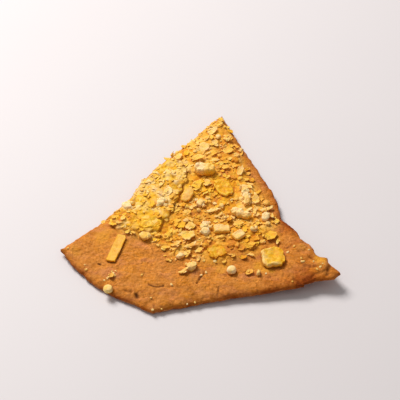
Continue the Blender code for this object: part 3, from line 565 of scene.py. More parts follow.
def quick_depth(rim):
    """The same as depth_inside, for many points and an outline whose points lie close together."""
    tree = kdtree.KDTree(len(rim))
    for k, (x, y) in enumerate(rim):
        tree.insert((x, y, 0.0), k)
    tree.balance()
    normals = outward_normals(rim)

    def depth(points):
        found = [tree.find((x, y, 0.0)) for x, y in points]
        nearest = np.array([index for _, index, _ in found])
        distance = np.array([away for _, _, away in found])
        outwards = ((points - rim[nearest]) * normals[nearest]).sum(1)
        return np.where(outwards <= 0.0, distance, -distance)

    return depth


# ======== the dough's two faces, the same as the solids have ========


def curl(x, y):
    """How far the underside has lifted off the plane."""
    right = np.clip((x - RIGHT_CURL_FROM) / (RIGHT_TIP_X - RIGHT_CURL_FROM), 0.0, 1.05)
    left = np.clip((x - LEFT_CURL_FROM) / (LEFT_TIP_X - LEFT_CURL_FROM), 0.0, 1.05)
    front = rising(x, *FRONT_CURL_X) * rising(y, *FRONT_CURL_Y)
    return RIGHT_CURL * right**1.8 + LEFT_CURL * left**2 + FRONT_CURL * front


def topping_cover(x, y):
    """Share of the surface that the topping hides: 1 in the middle of the patch, 0 off it."""
    patch = np.array(TOPPING_PATCH)
    points = np.stack([np.ravel(x), np.ravel(y)], axis=1)
    return ease(0.5 + depth_inside(points, patch) / (2 * TOPPING_FADE))


def relief(x, y):
    """Slow swells, the blisters beside the right tip, and the rough layer of fine cheese."""
    swell = field(x, y, WAVE_LENGTH) + 0.4 * field(x, y, WAVE_LENGTH / 2.3)
    nearness = 1.0 - np.hypot(x - BLISTER_CENTRE[0], y - BLISTER_CENTRE[1]) / BLISTER_REACH
    blister = 2.0 * np.abs(field(x, y, BLISTER_LENGTH, 9.0)) * ease(nearness * 1.5)
    layer = LAYER_HEIGHT + LAYER_BUMP * field(x, y, LAYER_BUMP_LENGTH, 6.0)
    return WAVE_HEIGHT * swell + BLISTER_HEIGHT * blister + layer * topping_cover(x, y)


def rounding(depth, width):
    """Quarter of an ellipse: 0 at the edge, and 1 from this width on."""
    return np.sqrt(1.0 - (1.0 - np.clip(depth / width, 0.0, 1.0)) ** 2)


def dough_thickness(x, y, depth):
    pillow = (THICK_MIDDLE - THICK_EDGE) * ease(depth / PILLOW_WIDTH)
    return THICK_EDGE + pillow + relief(x, y) * ease(depth / TOP_ROUNDING)


def dough_top(x, y, depth):
    round_up = UPPER_RIM + (1.0 - UPPER_RIM) * rounding(depth, TOP_ROUNDING)
    return curl(x, y) + dough_thickness(x, y, depth) * round_up


def dough_underside(x, y, depth):
    return curl(x, y) + THICK_EDGE * LOWER_RIM * (1.0 - rounding(depth, UNDER_ROUNDING))


def ground(x, y, rim, least_depth=0.4):
    """Height of the dough's top at one place."""
    return float(dough_top(x, y, np.maximum(depth_inside((x, y), rim), least_depth))[0])


# ======== meshes ========


def add_layers(mesh, layers):
    """Numbers for each point of a mesh, by name."""
    for label, values in layers.items():
        layer = mesh.attributes.new(label, "FLOAT", "POINT")
        layer.data.foreach_set("value", np.asarray(values, dtype=np.float32))


def new_piece(name, points, faces, finish, layers, sharp_from=None):
    """An object from points in millimetres, smooth but for edges sharper than this many degrees."""
    mesh = bpy.data.meshes.new(name)
    mesh.from_pydata((np.asarray(points) * MM).tolist(), [], faces)
    mesh.shade_smooth()
    if sharp_from is not None:
        mesh.set_sharp_from_angle(angle=math.radians(sharp_from))
    add_layers(mesh, layers)
    mesh.materials.append(finish)
    piece = bpy.data.objects.new(name, mesh)
    bpy.context.scene.collection.objects.link(piece)
    return piece


class Heap:
    """Bodies gathered into one piece, with their layers, which are numbers for each point."""

    def __init__(self):
        self.points, self.faces, self.layers = [], [], {}
        self.count = 0

    def add(self, points, faces, **layers):
        """Adds a body. A layer may be one number for all its points."""
        self.points.append(points)
        self.faces += [tuple(i + self.count for i in face) for face in faces]
        self.count += len(points)
        for label, values in layers.items():
            self.layers.setdefault(label, []).append(np.broadcast_to(values, len(points)))

    def piece(self, name, finish, sharp_from):
        layers = {label: np.concatenate(values) for label, values in self.layers.items()}
        return new_piece(name, np.concatenate(self.points), self.faces, finish, layers, sharp_from)


def inner_points(rim, depth_of, step, insets):
    """Points inside the outline: rows along it at these insets, then an even triangular grid."""
    rows = [rim - outward_normals(rim) * inset for inset in insets]
    kept = [row[depth_of(row) > 0.9 * inset] for row, inset in zip(rows, insets)]
    low, high = rim.min(0), rim.max(0)
    across = np.arange(low[0], high[0] + step, step)
    up = np.arange(low[1], high[1] + step, step * math.sqrt(0.75))
    x, y = np.meshgrid(across, up)
    x[1::2] += 0.5 * step
    grid = np.stack([x.ravel(), y.ravel()], axis=1)
    grid = grid[depth_of(grid) > max(insets, default=0.0) + 0.55 * step]
    return np.concatenate([*kept, grid])


def spread(rim, depth_of, step, insets):
    """Points and triangles over an outline: (x, y, depth, triangles, where the rim's points are)."""
    inner = inner_points(rim, depth_of, step, insets)
    points = [Vector(p) for p in np.concatenate([rim, inner])]
    edges = [(i, (i + 1) % len(rim)) for i in range(len(rim))]
    made, _, triangles, origins, _, _ = geometry.delaunay_2d_cdt(points, edges, [], 1, 1e-5)
    made = np.array([tuple(p) for p in made])
    first = np.array([min(origin) for origin in origins])
    at_rim = {origin: k for k, origin in enumerate(first.tolist()) if origin < len(rim)}
    depth = np.where(first < len(rim), 0.0, depth_of(made))
    return made[:, 0], made[:, 1], depth, triangles, [at_rim[i] for i in range(len(rim))]


def closed_sheet(rim, depth_of, top, underside, steps, insets, rows):
    """Points and faces of a closed body between a top and an underside, given as functions.

    Its side is upright, with this many rows of points in it. Also returns, for each point, its
    depth inside the outline and whether it is on the top, the side or the underside: 1, 0, -1."""
    x, y, depth, up_faces, up_rim = spread(rim, depth_of, steps[0], insets)
    ux, uy, under_depth, down_faces, down_rim = spread(rim, depth_of, steps[1], insets[-1:])
    upper = np.column_stack([x, y, top(x, y, depth)])
    lower = np.column_stack([ux, uy, underside(ux, uy, under_depth)])
    shares = [(k + 1) / (rows + 1) for k in range(rows)]
    side = [upper[up_rim] * (1 - s) + lower[down_rim] * s for s in shares]
    points = np.concatenate([upper, lower, *side])
    faces = [tuple(face) for face in up_faces]
    faces += [tuple(i + len(upper) for i in reversed(face)) for face in down_faces]
    loops = [list(up_rim)]
    for k in range(rows):
        first = len(upper) + len(lower) + k * len(rim)
        loops.append(list(range(first, first + len(rim))))
    loops.append([i + len(upper) for i in down_rim])
    for over, under in zip(loops, loops[1:]):
        for k in range(len(rim)):
            after = (k + 1) % len(rim)
            faces.append((under[k], under[after], over[after], over[k]))
    depths = np.concatenate([depth, under_depth, *[np.zeros(len(rim))] * rows])
    part = np.concatenate([np.ones(len(upper)), -np.ones(len(lower)), np.zeros(rows * len(rim))])
    return points, faces, depths, part


def shaken(points, amount, length, layer=0.0):
    """The points moved by smooth noise of this wavelength, each by at most about its amount."""
    spots = points / length + layer
    moves = np.array([tuple(noise.noise_vector(Vector(spot))) for spot in spots])
    return points + moves * np.reshape(amount, (-1, 1))


def inside_solids(points):
    """The few points that stray outside the solids' box are brought back to it."""
    low, high = np.array(solid_box) / MM
    return np.clip(points, low, high)


# ======== the dough ========


def nearness_to_path(x, y, path):
    """Distance from each point to a line through these places."""
    nearest = np.full(len(x), np.inf)
    for (ax, ay), (bx, by) in zip(path, path[1:]):
        dx, dy = bx - ax, by - ay
        share = np.clip(((x - ax) * dx + (y - ay) * dy) / (dx * dx + dy * dy), 0.0, 1.0)
        nearest = np.minimum(nearest, np.hypot(x - ax - share * dx, y - ay - share * dy))
    return nearest


def cracks(x, y):
    """(depth, darkness of their painted shade) of the cracks, creases and holes at each point."""
    uneven = 0.5 * field(x, y, 1.3, 31.0)
    deep, dark = np.zeros((2, len(x)))
    for path, half_width, depth, darkness in CRACKS:
        away = nearness_to_path(x, y, path) / half_width + uneven
        near = np.exp(-(np.clip(away, 0.0, 6.0) ** 2))
        deep, dark = np.maximum(deep, depth * near), np.maximum(dark, darkness * near)
    return deep, dark


def pits(x, y):
    """Small round dimples over the baked top."""
    draw = random.Random(SEED + 1)
    deep = np.zeros(len(x))
    for _ in range(PIT_COUNT):
        px, py = draw.uniform(-62, 62), draw.uniform(-61, 61)
        size = draw.uniform(*PIT_SIZES)
        close = np.nonzero((np.abs(x - px) < 3 * size) & (np.abs(y - py) < 3 * size))[0]
        away = np.hypot(x[close] - px, (y[close] - py) * draw.uniform(1.0, 1.8)) / size
        deep[close] = np.maximum(deep[close], PIT_DEPTH * np.exp(-(away**2)))
    return deep


def melted(x, y):
    """Share of the surface that is cheese melted flat into the dough."""
    uneven = 0.55 * field(x, y, 3.6, 41.0) + 0.25 * field(x, y, 1.5, 42.0)
    share = np.zeros(len(x))
    for mx, my, reach, strength in MELTS:
        away = np.hypot(x - mx, y - my) / reach + uneven
        share = np.maximum(share, strength * ease(1.35 - 1.2 * away))
    return share


def calm_share(x, y):
    """How far the topping has melted together at each place, which softens its contrasts."""
    share = np.zeros(np.shape(x))
    for cx, cy, reach, strength in CALM_PLACES:
        share = np.maximum(share, strength * np.exp(-((np.hypot(x - cx, y - cy) / reach) ** 4)))
    return share


def zone_look(x, y):
    """(tint, gild) of the cheese at each place, blended from the zones near it."""
    total = np.full(np.shape(x), BETWEEN_SHARE)
    tint, gild = total * BETWEEN_TINT, total * BETWEEN_GILD
    for zone_x, zone_y, reach, zone_tint, zone_gild in ZONES:
        share = np.exp(-((x - zone_x) ** 2 + (y - zone_y) ** 2) / reach**2)
        total, tint, gild = total + share, tint + share * zone_tint, gild + share * zone_gild
    return tint / total, gild / total


def cells(x, y, size, layer):
    """The cell with wandering edges that each point is in. Yields the point's index, its place in
    cells, its distances from the nearest middles, and the nearest middle."""
    across = (x + FLAKE_WARP * field(x, y, FLAKE_WARP_LENGTH, 46.0)) / size
    along = (y + FLAKE_WARP * field(x, y, FLAKE_WARP_LENGTH, 47.0)) / size
    for k, place in enumerate(zip(across, along)):
        away, middles = noise.voronoi(Vector((*place, layer)))
        yield k, place, away, middles[0]


def overlapping_flakes(x, y):
    """(height, tint, seam shade) of layers of small flakes that overlap, each at its own slant. The
    tint is paler where a flake stands higher, as painted light, and the seam shade is painted shade.
    """
    heights, tints, seam_shades = np.zeros((3, len(x)))
    for size, rise in FLAKE_LAYERS:
        for k, (across, along), away, middle in cells(x, y, size, size):
            own = noise.cell_vector(middle * 7.3)
            tilt = own.x % 1.0 - 0.5, own.y % 1.0 - 0.5
            sloped = tilt[0] * (across - middle.x) + tilt[1] * (along - middle.y)
            sloped = FLAKE_SLANT * size * 2.0 * sloped
            seam = min(1.0, (away[1] - away[0]) / FLAKE_SEAM)
            heights[k] += (rise * (own.z % 1.0) + sloped) * (0.35 + 0.65 * seam)
            # each flake's own tone, and paler the higher it stands: painted light on its raised parts
            tints[k] += rise * ((own.z % 1.0) - 0.5) + 0.3 * sloped
            # painted shade where a flake drops to its neighbour
            seam_shades[k] = max(seam_shades[k], (1.0 - seam) * rise / FLAKE_LAYERS[0][1])
    return heights, tints, seam_shades


def raft_domes(x, y):
    """(height, tint, gild, crease shade) of the raft's soft lumps, each of its own height and colour.
    Their crowns are painted paler and duller as if lit, and painted shade lies in the creases between them.
    """
    heights, tints, gilds, crease_shades = np.zeros((4, len(x)))
    for size, rise in RAFT_DOMES:
        weight = rise / RAFT_DOMES[0][1]
        for k, _, away, middle in cells(x, y, size, 3.0 * size):
            own = noise.cell_vector(middle * 5.1)
            crown = 1.0 - min(1.0, away[0] / 0.85) ** 2
            heights[k] += rise * (0.35 + 0.65 * (own.z % 1.0)) * crown
            # each lump's own tone, with its crown painted paler and duller, as if lit
            tints[k] += weight * (0.9 * (own.x % 1.0) + 1.1 * crown - 1.20)
            gilds[k] += weight * (1.2 * (own.y % 1.0) - 0.6 * crown)
            # painted shade in the crease round each lump
            edge = max(0.0, 1.0 - (away[1] - away[0]) / RAFT_CREASE_SHADE)
            crease_shades[k] = max(crease_shades[k], edge * weight)
    return heights, tints, gilds, crease_shades


def raft_depth(x, y):
    uneven = RAFT_UNEVEN * field(x, y, RAFT_UNEVEN_LENGTH, 66.0)
    return depth_inside(np.column_stack([x, y]), np.array(RAFT)) + uneven


def raft_share(x, y):
    """1 on the raft of melted cheese, 0 off it."""
    return ease(0.5 + raft_depth(x, y) / RAFT_STEP)


def raft_ledge_shadow(x, y):
    """How dark the painted shadow is at the foot of the ledge on the raft's lower right side."""
    facing = RAFT_FACING[0] * (x - RAFT_MIDDLE[0]) + RAFT_FACING[1] * (y - RAFT_MIDDLE[1])
    return rising(facing, 1.0, 5.0) * np.exp(-(((raft_depth(x, y) + 0.25) / 0.48) ** 2))


def stain_and_contact_shade(x, y, crumbs):
    """How much the crust is stained and darkened by painted contact shade close round the pieces of cheese on
    it.
    """
    share = np.zeros(len(x))

    def stain_and_shade(near, away):
        close = np.exp(-((np.clip(away, 0.0, None) / CONTACT_WIDTH) ** 2))
        share[near] = np.maximum(share[near], close)

    for crumb, _ in crumbs:
        near = np.nonzero(np.hypot(x - crumb.x, y - crumb.y) < 2.2 * crumb.radius)[0]
        stain_and_shade(near, np.hypot(x[near] - crumb.x, y[near] - crumb.y) - 0.92 * crumb.radius)
    for piece in PIECES:
        near = np.nonzero(np.hypot(x - piece.x, y - piece.y) < piece.length)[0]
        outline = piece_outline(piece, PIECE_RIM_STEP)
        stain_and_shade(near, -depth_inside(np.column_stack([x[near], y[near]]), outline))
    return share


def dough_detail(x, y, depth):
    """Relief finer than the solids': grain, wrinkles, pits, cracks and the rough cheese layer."""
    height = sum(h * field(x, y, length, 50.0 + length) for h, length in DOUGH_GRAIN)
    folds = np.abs(field(x * 0.8 + y * 0.3, y - x * 0.2, WRINKLE_LENGTH, 61.0))
    height = height + WRINKLE_HEIGHT * rising(x, *WRINKLED_X) * (folds - 0.15)
    lines = np.abs(field(x + 0.5 * y, y - 0.4 * x, CREASE_LENGTH, 62.0)) / CREASE_SHARE
    cover = topping_cover(x, y)
    height = height - CREASE_DEPTH * np.clip(1.0 - lines, 0.0, 1.0) - pits(x, y) * (1.0 - cover)
    covered = cover > 0.03
    on_x, on_y = x[covered], y[covered]
    raft, calm = raft_share(on_x, on_y), calm_share(on_x, on_y)
    flakes = overlapping_flakes(on_x, on_y)[0] * (1.0 - (1.0 - RAFT_FLAKES) * raft)
    flakes = flakes * (1.0 - 0.35 * calm) + CALM_FILL * calm
    on_raft = raft > 0.0
    flakes[on_raft] += raft[on_raft] * (RAFT_HEIGHT + raft_domes(on_x[on_raft], on_y[on_raft])[0])
    height[covered] += cover[covered] * flakes
    return (height - cracks(x, y)[0]) * ease(depth / 1.2)


def browning(x, y, depth, part):
    """How dark the bake is: the cut edge, the tips, the front and the right side are darkest."""
    patchy = 0.5 + 0.7 * field(x, y, 9.0, 71.0) + 0.5 * field(x, y, 3.2, 72.0)
    depth = np.clip(depth, 0.0, None)
    front = rising(x, 14, 38) * rising(y, -34, -48)
    places = {
        "edge": np.exp(-depth / (1.5 + 2.4 * front)),
        "rim": np.exp(-depth / 0.7) * (0.35 + 0.65 * rising(y, -30, -45)),
        "front": front,
        "right": rising(x, 24, 50),
        "upper strip": rising(x - 0.30 * (20.0 - y), 22, 31) * rising(y, -22, -14),
        "lower strip": rising(x, 33, 39) * rising(x, 50, 44) * rising(y, -30, -24),
        "front corner": rising(x, 34, 44) * rising(x, 53, 48) * rising(y, -35, -42),
    }
    brown = sum(BROWNED[name] * share for name, share in places.items())
    brown = brown * (1.0 - PALER_TIP * rising(x, 50, 56))
    brown = brown * (0.6 + 0.7 * patchy) + 0.06 * patchy
    return np.clip(np.where(part < 1, np.maximum(brown, SIDE_BROWNING), brown), 0.0, 1.0)


def topping_look(x, y, cover):
    """(tint, gild, crease shade) of the cheese baked onto the dough, where it covers the dough.
    The crease shade is painted shade in its seams and creases and a painted shadow under the raft's ledge.
    """
    tint, gild = zone_look(x, y)
    crease = np.zeros(len(x))
    calm = calm_share(x, y)
    tint = tint - 0.15 - 0.05 * calm + (0.3 + 0.15 * calm) * field(x, y, 4.5, 48.0)
    covered = cover > 0.0
    x, y = x[covered], y[covered]
    raft = raft_share(x, y)
    _, flake_tints, seam_shades = overlapping_flakes(x, y)
    _, dome_tints, dome_gilds, dome_shades = raft_domes(x, y)
    flake_tints = (0.85 - 0.20 * calm[covered]) * flake_tints
    tint[covered] += flake_tints * (1.0 - raft) + raft * (0.25 + 0.50 * dome_tints)
    gild[covered] += 0.7 * raft * dome_gilds
    broken = ease(0.5 + 1.8 * field(x, y, 2.6, 68.0))
    seam_shades = np.maximum(0.35 * broken * seam_shades * (1.0 - raft), 0.80 * broken * raft * dome_shades)
    crease[covered] = np.maximum(seam_shades, raft_ledge_shadow(x, y) * (0.6 + 0.4 * broken))
    return np.clip(tint, 0.0, 1.0), np.clip(gild, 0.0, 1.0), crease


def nicked_rim(step):
    """The fine outline, with small nicks that only go inwards."""
    rim = biscuit_rim(step)
    bite = 0.5 + field(rim[:, 0], rim[:, 1], NICK_LENGTH, 81.0)
    return rim - outward_normals(rim) * (NICK_DEPTH * np.clip(bite, 0.0, 1.0) ** 2)[:, None]


def make_dough(finish, crumbs):
    rim = nicked_rim(DOUGH_RIM_STEP)

    def top(x, y, depth):
        return dough_top(x, y, depth) + dough_detail(x, y, depth)

    def underside(x, y, depth):
        bump = (0.5 + field(x, y, UNDER_BUMP_LENGTH, 90.0)).clip(0.0, 1.0)
        return dough_underside(x, y, depth) + UNDER_BUMP * bump

    points, faces, depth, part = closed_sheet(
        rim, quick_depth(rim), top, underside, (DOUGH_TOP_STEP, DOUGH_UNDER_STEP), DOUGH_INSETS, EDGE_ROWS
    )
    x, y, z = points.T
    on_top = part == 1
    cover = np.where(on_top, topping_cover(x, y) * ease(depth / 2.5), 0.0)
    tint, gild, crease = topping_look(x, y, cover)
    # Painted contact shade and stain round the crumbs and pieces, weaker where the topping covers the dough
    crease = np.maximum(crease, 0.50 * stain_and_contact_shade(x, y, crumbs) * on_top * (1.0 - 0.7 * cover))
    above = (z - curl(x, y)) / THICK_EDGE
    layers = {
        "browning": browning(x, y, depth, part),
        "cover": cover,
        "tint": tint,
        "gild": gild,
        "crack": np.where(on_top, cracks(x, y)[1], 0.0),
        "crease": np.clip(crease * (1.0 - 0.5 * calm_share(x, y)), 0.0, 1.0),
        "melt": np.where(on_top, melted(x, y) * ease(depth / 2.0), 0.0),
        "lip": (part == 0) * rising(y, -30, -45) * np.exp(-(((above - 0.30) / 0.09) ** 2)),
    }
    rough = EDGE_ROUGHNESS * np.exp(-depth / EDGE_ROUGH_WIDTH) * (part >= 0)
    moved = inside_solids(shaken(points, rough, EDGE_ROUGH_LENGTH))
    return new_piece("baked_dough", moved, faces, finish, layers)


# ======== crumbs and grains ========


def piece_outline(piece, step):
    """A rounded box of the piece's length and width, uneven, turned and set in its place."""
    count = max(10, round(2.4 * (piece.length + piece.width) / 1.3 / step))
    power = 2.0 / piece.squareness
    outline = []
    for k in range(count):
        angle = 2 * math.pi * k / count
        c, s = math.cos(angle), math.sin(angle)
        uneven = 1.0 + 0.09 * noise.noise(Vector((piece.x + 2.0 * c, piece.y + 2.0 * s, 5.0)))
        x = piece.length / 2 * math.copysign(abs(c) ** power, c) * uneven
        y = piece.width / 2 * math.copysign(abs(s) ** power, s) * uneven
        east, north = rotated(x, y, math.radians(piece.turn))
        outline.append((piece.x + east, piece.y + north))
    return np.array(outline)


def scatter_crumbs(rim):
    """The listed crumbs and then the scattered ones, largest first. Each is (crumb, rise)."""
    draw = random.Random(SEED)
    keep_out = [piece_outline(piece, PIECE_RIM_STEP) for piece in PIECES]
    placed = [(crumb, 0.0) for crumb in HAND_PLACED]
    low, high = rim.min(0), rim.max(0)

    def room_at(x, y, reach):
        """How far off the nearest crumb is, as a share of what the two need, or 0 with no room."""
        if depth_inside((x, y), rim)[0] < 0.35 * reach + 0.6:
            return 0.0
        if any(depth_inside((x, y), outline)[0] > -(reach + CLEARANCE) for outline in keep_out):
            return 0.0
        return min(math.dist((x, y), (c.x, c.y)) / (reach + c.radius) for c, _ in placed)

    for k in range(CRUMB_COUNT):
        radius = LARGEST + (SMALLEST - LARGEST) * (k / CRUMB_COUNT) ** 0.75
        kind = draw.choice(DRAWN_KINDS)
        reach = radius * KINDS[kind].reach
        spots = []
        for _ in range(TRIES):
            x, y = draw.uniform(low[0], high[0]), draw.uniform(low[1], high[1])
            if draw.random() < topping_cover(x, y)[0]:
                spots.append((room_at(x, y, reach), x, y))
        room, x, y = max(spots)
        if room < CLOSEST:
            continue
        leaned_on = [
            (other.height + rise) * PILE_RISE
            for other, rise in placed
            if math.dist((x, y), (other.x, other.y)) < 0.92 * (reach + other.radius)
        ]
        height = radius * KINDS[kind].height_share * draw.uniform(0.8, 1.25)
        tilt = draw.uniform(0.0, STEEPEST) if kind != "lump" else 0.0
        crumb = Crumb(kind, x, y, radius, height, draw.uniform(0.0, 360.0), tilt)
        placed.append((crumb, max(leaned_on, default=0.0)))
    return placed


def crumb_corners(index, crumb):
    """The corners of a crumb about its own middle, and the random draw that they started."""
    draw = random.Random(SEED * 1000 + index)
    stretch = (1.55, 0.55) if crumb.kind == "strip" else (draw.uniform(0.95, 1.2), draw.uniform(0.72, 0.95))
    corners = []
    for k in range(CRUMB_SIDES):
        angle = 2 * math.pi * (k + draw.uniform(-0.25, 0.25)) / CRUMB_SIDES
        reach = crumb.radius * draw.uniform(0.86, 1.1)
        corners.append((reach * stretch[0] * math.cos(angle), reach * stretch[1] * math.sin(angle)))
    return np.array(corners), draw


def cut_flat(points, draw, cuts, shares, upward):
    """The points pressed back behind a few random planes, which leaves broken-looking faces."""
    middle = points.mean(0)
    for _ in range(cuts):
        turn = draw.uniform(0.0, 2 * math.pi)
        up = draw.uniform(*upward)
        flat = math.sqrt(1.0 - up * up)
        facing = np.array([flat * math.cos(turn), flat * math.sin(turn), up])
        reach = (points - middle) @ facing
        over = np.clip(reach - reach.max() * draw.uniform(*shares), 0.0, None)
        points = points - over[:, None] * facing
    return points


def ring_points(outline, rings, height):
    """Rings of points with these shares of an outline and a height, and their two end points."""
    made = [np.column_stack([outline * share, np.full(len(outline), h * height)]) for share, h in rings]
    ends = np.array([[0.0, 0.0, rings[0][1] * height], [0.0, 0.0, rings[-1][1] * height]])
    return np.concatenate([*made, ends])


def ring_faces(rings, size):
    """Faces of a body made of rings of points, closed by a middle point at each end."""
    foot, crown = len(rings) * size, len(rings) * size + 1
    faces = []
    for k in range(size):
        after = (k + 1) % size
        faces.append((foot, after, k))
        faces.append((crown, crown - 1 - size + k, crown - 1 - size + after))
        for low in range(0, foot - size, size):
            faces.append((low + k, low + after, low + size + after, low + size + k))
    return faces


def ragged_outline(draw, sides, long, short, uneven):
    """An uneven polygon about the origin."""
    corners = []
    for side in range(sides):
        angle = 2 * math.pi * (side + draw.uniform(-0.3, 0.3)) / sides
        reach = draw.uniform(1.0 - uneven, 1.0 + 0.5 * uneven)
        corners.append((long * reach * math.cos(angle), short * reach * math.sin(angle)))
    return np.array(corners)


def turned(points, draw, lean):
    """The points turned any way about the vertical and leaned by at most this many radians."""
    turn = Euler((draw.uniform(-lean, lean), draw.uniform(-lean, lean), draw.uniform(0.0, 2 * math.pi)))
    return points @ np.array(turn.to_matrix()).T


def bits_of(crumb, draw):
    """(points, faces) of each smaller broken bit that sticks to a crumb."""
    bits = NUGGETS if crumb.kind == "lump" else SHARDS
    for _ in range(draw.randint(*bits.count)):
        size = crumb.radius * draw.uniform(*bits.size)
        long = size * draw.uniform(*bits.long)
        outline = ragged_outline(draw, bits.sides, long, size * bits.short, bits.uneven)
        thickness = size if crumb.kind == "lump" else SHARD_THICKNESS * crumb.height
        body = cut_flat(ring_points(outline, bits.rings, thickness), draw, bits.cuts, (0.6, 0.9), (-0.8, 0.9))
        body = turned(body, draw, bits.lean)
        angle, away = draw.uniform(0.0, 2 * math.pi), crumb.radius * draw.uniform(*bits.away)
        height = crumb.height * draw.uniform(*bits.height)
        body = body + (away * math.cos(angle), away * math.sin(angle), height)
        yield body, ring_faces(bits.rings, bits.sides)


def crumb_outline(kind, corners, draw):
    """The solid's corners with points between them, rounded off and then ragged."""
    following = np.roll(corners, -1, axis=0)
    sides = [corners + (following - corners) * (k / CORNER_POINTS) for k in range(CORNER_POINTS)]
    outline = np.stack(sides, axis=1).reshape(-1, 2)
    for _ in range(kind.roundings):
        outline = 0.25 * np.roll(outline, 1, axis=0) + 0.5 * outline + 0.25 * np.roll(outline, -1, axis=0)
    return outline * np.array([draw.uniform(*kind.ragged) for _ in outline])[:, None]


def crumb_shape(index, crumb):
    """(points, faces, draw) of a crumb about the middle of its foot, with an undercut foot, a
    ragged edge, broken faces or some curl, and the smaller bits that stick to it."""
    kind = KINDS[crumb.kind]
    corners, draw = crumb_corners(index, crumb)
    outline = crumb_outline(kind, corners, draw)
    if index in ROUND_CRUMBS:
        around = np.linspace(0.0, 2 * math.pi, len(outline), endpoint=False)
        outline = crumb.radius * np.column_stack([np.cos(around), np.sin(around)])
        ball = ring_points(outline, BALL_RINGS, crumb.height)
        ball = shaken(ball, 0.08 * crumb.radius, 1.2 * crumb.radius, index * 3.7)
        return ball, ring_faces(BALL_RINGS, len(outline)), draw
    points = ring_points(outline, kind.rings, crumb.height)
    if crumb.kind == "lump":
        points = cut_flat(points, draw, 5, (0.76, 0.95), (-0.1, 0.9))
    else:
        points[:, 2] += draw.uniform(*CURL) * crumb.radius * (points[:, 0] / crumb.radius) ** 2
    points = shaken(points, 0.16 * crumb.radius, kind.waves[0] * crumb.radius, index * 3.7)
    points = shaken(points, 0.07 * crumb.radius, kind.waves[1] * crumb.radius, index * 2.9)
    faces = ring_faces(kind.rings, len(outline))
    for bit, bit_faces in bits_of(crumb, draw):
        faces += [tuple(i + len(points) for i in face) for face in bit_faces]
        points = np.concatenate([points, shaken(bit, 0.06 * crumb.radius, 0.4 * crumb.radius, index * 5.1)])
    return points, faces, draw


def crumb_body(index, crumb, rise, rim):
    """(points, faces, shade, draw) of a crumb in its place. shade is 1 at its foot, 0 higher up."""
    points, faces, draw = crumb_shape(index, crumb)
    kind = KINDS[crumb.kind]
    x, y, z = points.T
    shade = 1.0 - ease(z / (kind.shaded * crumb.height))
    shade = shade - RIM_LIGHT * np.clip(np.hypot(x, y) / crumb.radius, 0.0, 1.0) ** 3 * (1.0 - shade)
    east, north = rotated(x, y, math.radians(crumb.turn))
    shingle = kind.shingle * (1.0 - 0.5 * float(calm_share(crumb.x, crumb.y)))
    z = z + math.tan(math.radians(crumb.tilt)) * x + shingle * (east - north)
    base = ground(crumb.x, crumb.y, rim)
    return np.column_stack([crumb.x + east, crumb.y + north, base + rise + z]), faces, shade, draw


def crumb_look(crumb, draw):
    """(tint, gild) of a crumb: its own, or its zone's, and lumps are paler and duller there."""
    if crumb.tint is not None:
        return crumb.tint, crumb.gild
    tint, gild = zone_look(crumb.x, crumb.y)
    paler = KINDS[crumb.kind].paler
    tint = float(tint) + paler + draw.gauss(0.0, TINT_STRAY)
    gild = float(gild) - 1.5 * paler + draw.gauss(0.0, GILD_STRAY)
    return min(1.0, max(0.05, tint)), min(1.0, max(0.0, gild))


def filling(rim):
    """(points, faces) of the bits that fill the gaps in the biggest clumps, one after another."""
    for k, (x, y, height, radius) in enumerate(FILLING):
        draw = random.Random(SEED * 55 + k)
        outline = ragged_outline(draw, FILLING_SIDES, 1.15 * radius, 0.9 * radius, 0.3)
        body = cut_flat(ring_points(outline, BIT_RINGS, radius), draw, 4, (0.7, 0.95), (-0.4, 0.9))
        body = shaken(turned(body, draw, 0.5), 0.12 * radius, 0.7 * radius, k * 4.3)
        yield body + (x, y, ground(x, y, rim) + height), ring_faces(BIT_RINGS, FILLING_SIDES)


def make_crumbs(crumbs, rim, finish):
    """One object for each kind of crumb."""
    heaps = {kind: Heap() for kind in KINDS}
    for index, (crumb, rise) in enumerate(crumbs):
        body, faces, shade, draw = crumb_body(index, crumb, rise, rim)
        tint, gild = crumb_look(crumb, draw)
        calm = float(calm_share(crumb.x, crumb.y))
        tint = tint - 0.02 * calm
        shade = shade * (1.0 - 0.55 * calm)
        tints = np.clip(tint - FOOT_SHADE * shade, 0.0, 1.0)
        gilds = np.clip(gild + FOOT_GILD * shade, 0.0, 1.0)
        toast = draw.uniform(0.0, 1.0) ** 2 * (1.1 - tint)
        heaps[crumb.kind].add(body, faces, tint=tints, gild=gilds, toast=toast)
    for body, faces in filling(rim):
        shade = FILLING_SHADE * ease((body[:, 2].max() - body[:, 2]) / FILLING_SHADED)
        gilds = np.minimum(1.0, FILLING_GILD + shade)
        heaps["lump"].add(body, faces, tint=FILLING_TINT - shade, gild=gilds, toast=0.0)
    return [heap.piece(f"cheese_{kind}s", finish, 28) for kind, heap in heaps.items()]


def make_lone_grains(rim, finish):
    """The few grains on the bare dough."""
    grains = Heap()
    for k, (x, y, radius) in enumerate(LONE_GRAINS):
        draw = random.Random(SEED * 77 + k)
        outline = ragged_outline(draw, GRAIN_SIDES, 1.1 * radius, 0.8 * radius, 0.25)
        body = turned(ring_points(outline, GRAIN_RINGS, radius), draw, 0.3) + (x, y, ground(x, y, rim, 0.3))
        body = shaken(body, 0.15 * radius, 0.8 * radius, k * 2.3)
        tint = draw.uniform(*GRAIN_TINTS)
        grains.add(body, ring_faces(GRAIN_RINGS, GRAIN_SIDES), tint=tint, gild=GRAIN_GILD, toast=0.0)
    return grains.piece("lone_grains", finish, 40)


# ======== the big pieces of cheese ========


def slab_rims(piece, across, along):
    """How much each place of the slab belongs to its raised pale left side and front side."""
    left = ease(-0.40 - 3.0 * along / piece.length)
    front = ease(-0.75 - 3.4 * across / piece.width) * ease(0.9 - 2.0 * along / piece.length)
    back = 0.7 * ease(-0.70 + 3.2 * across / piece.width) * ease(0.8 - 1.6 * along / piece.length)
    return left, np.maximum(front, back)


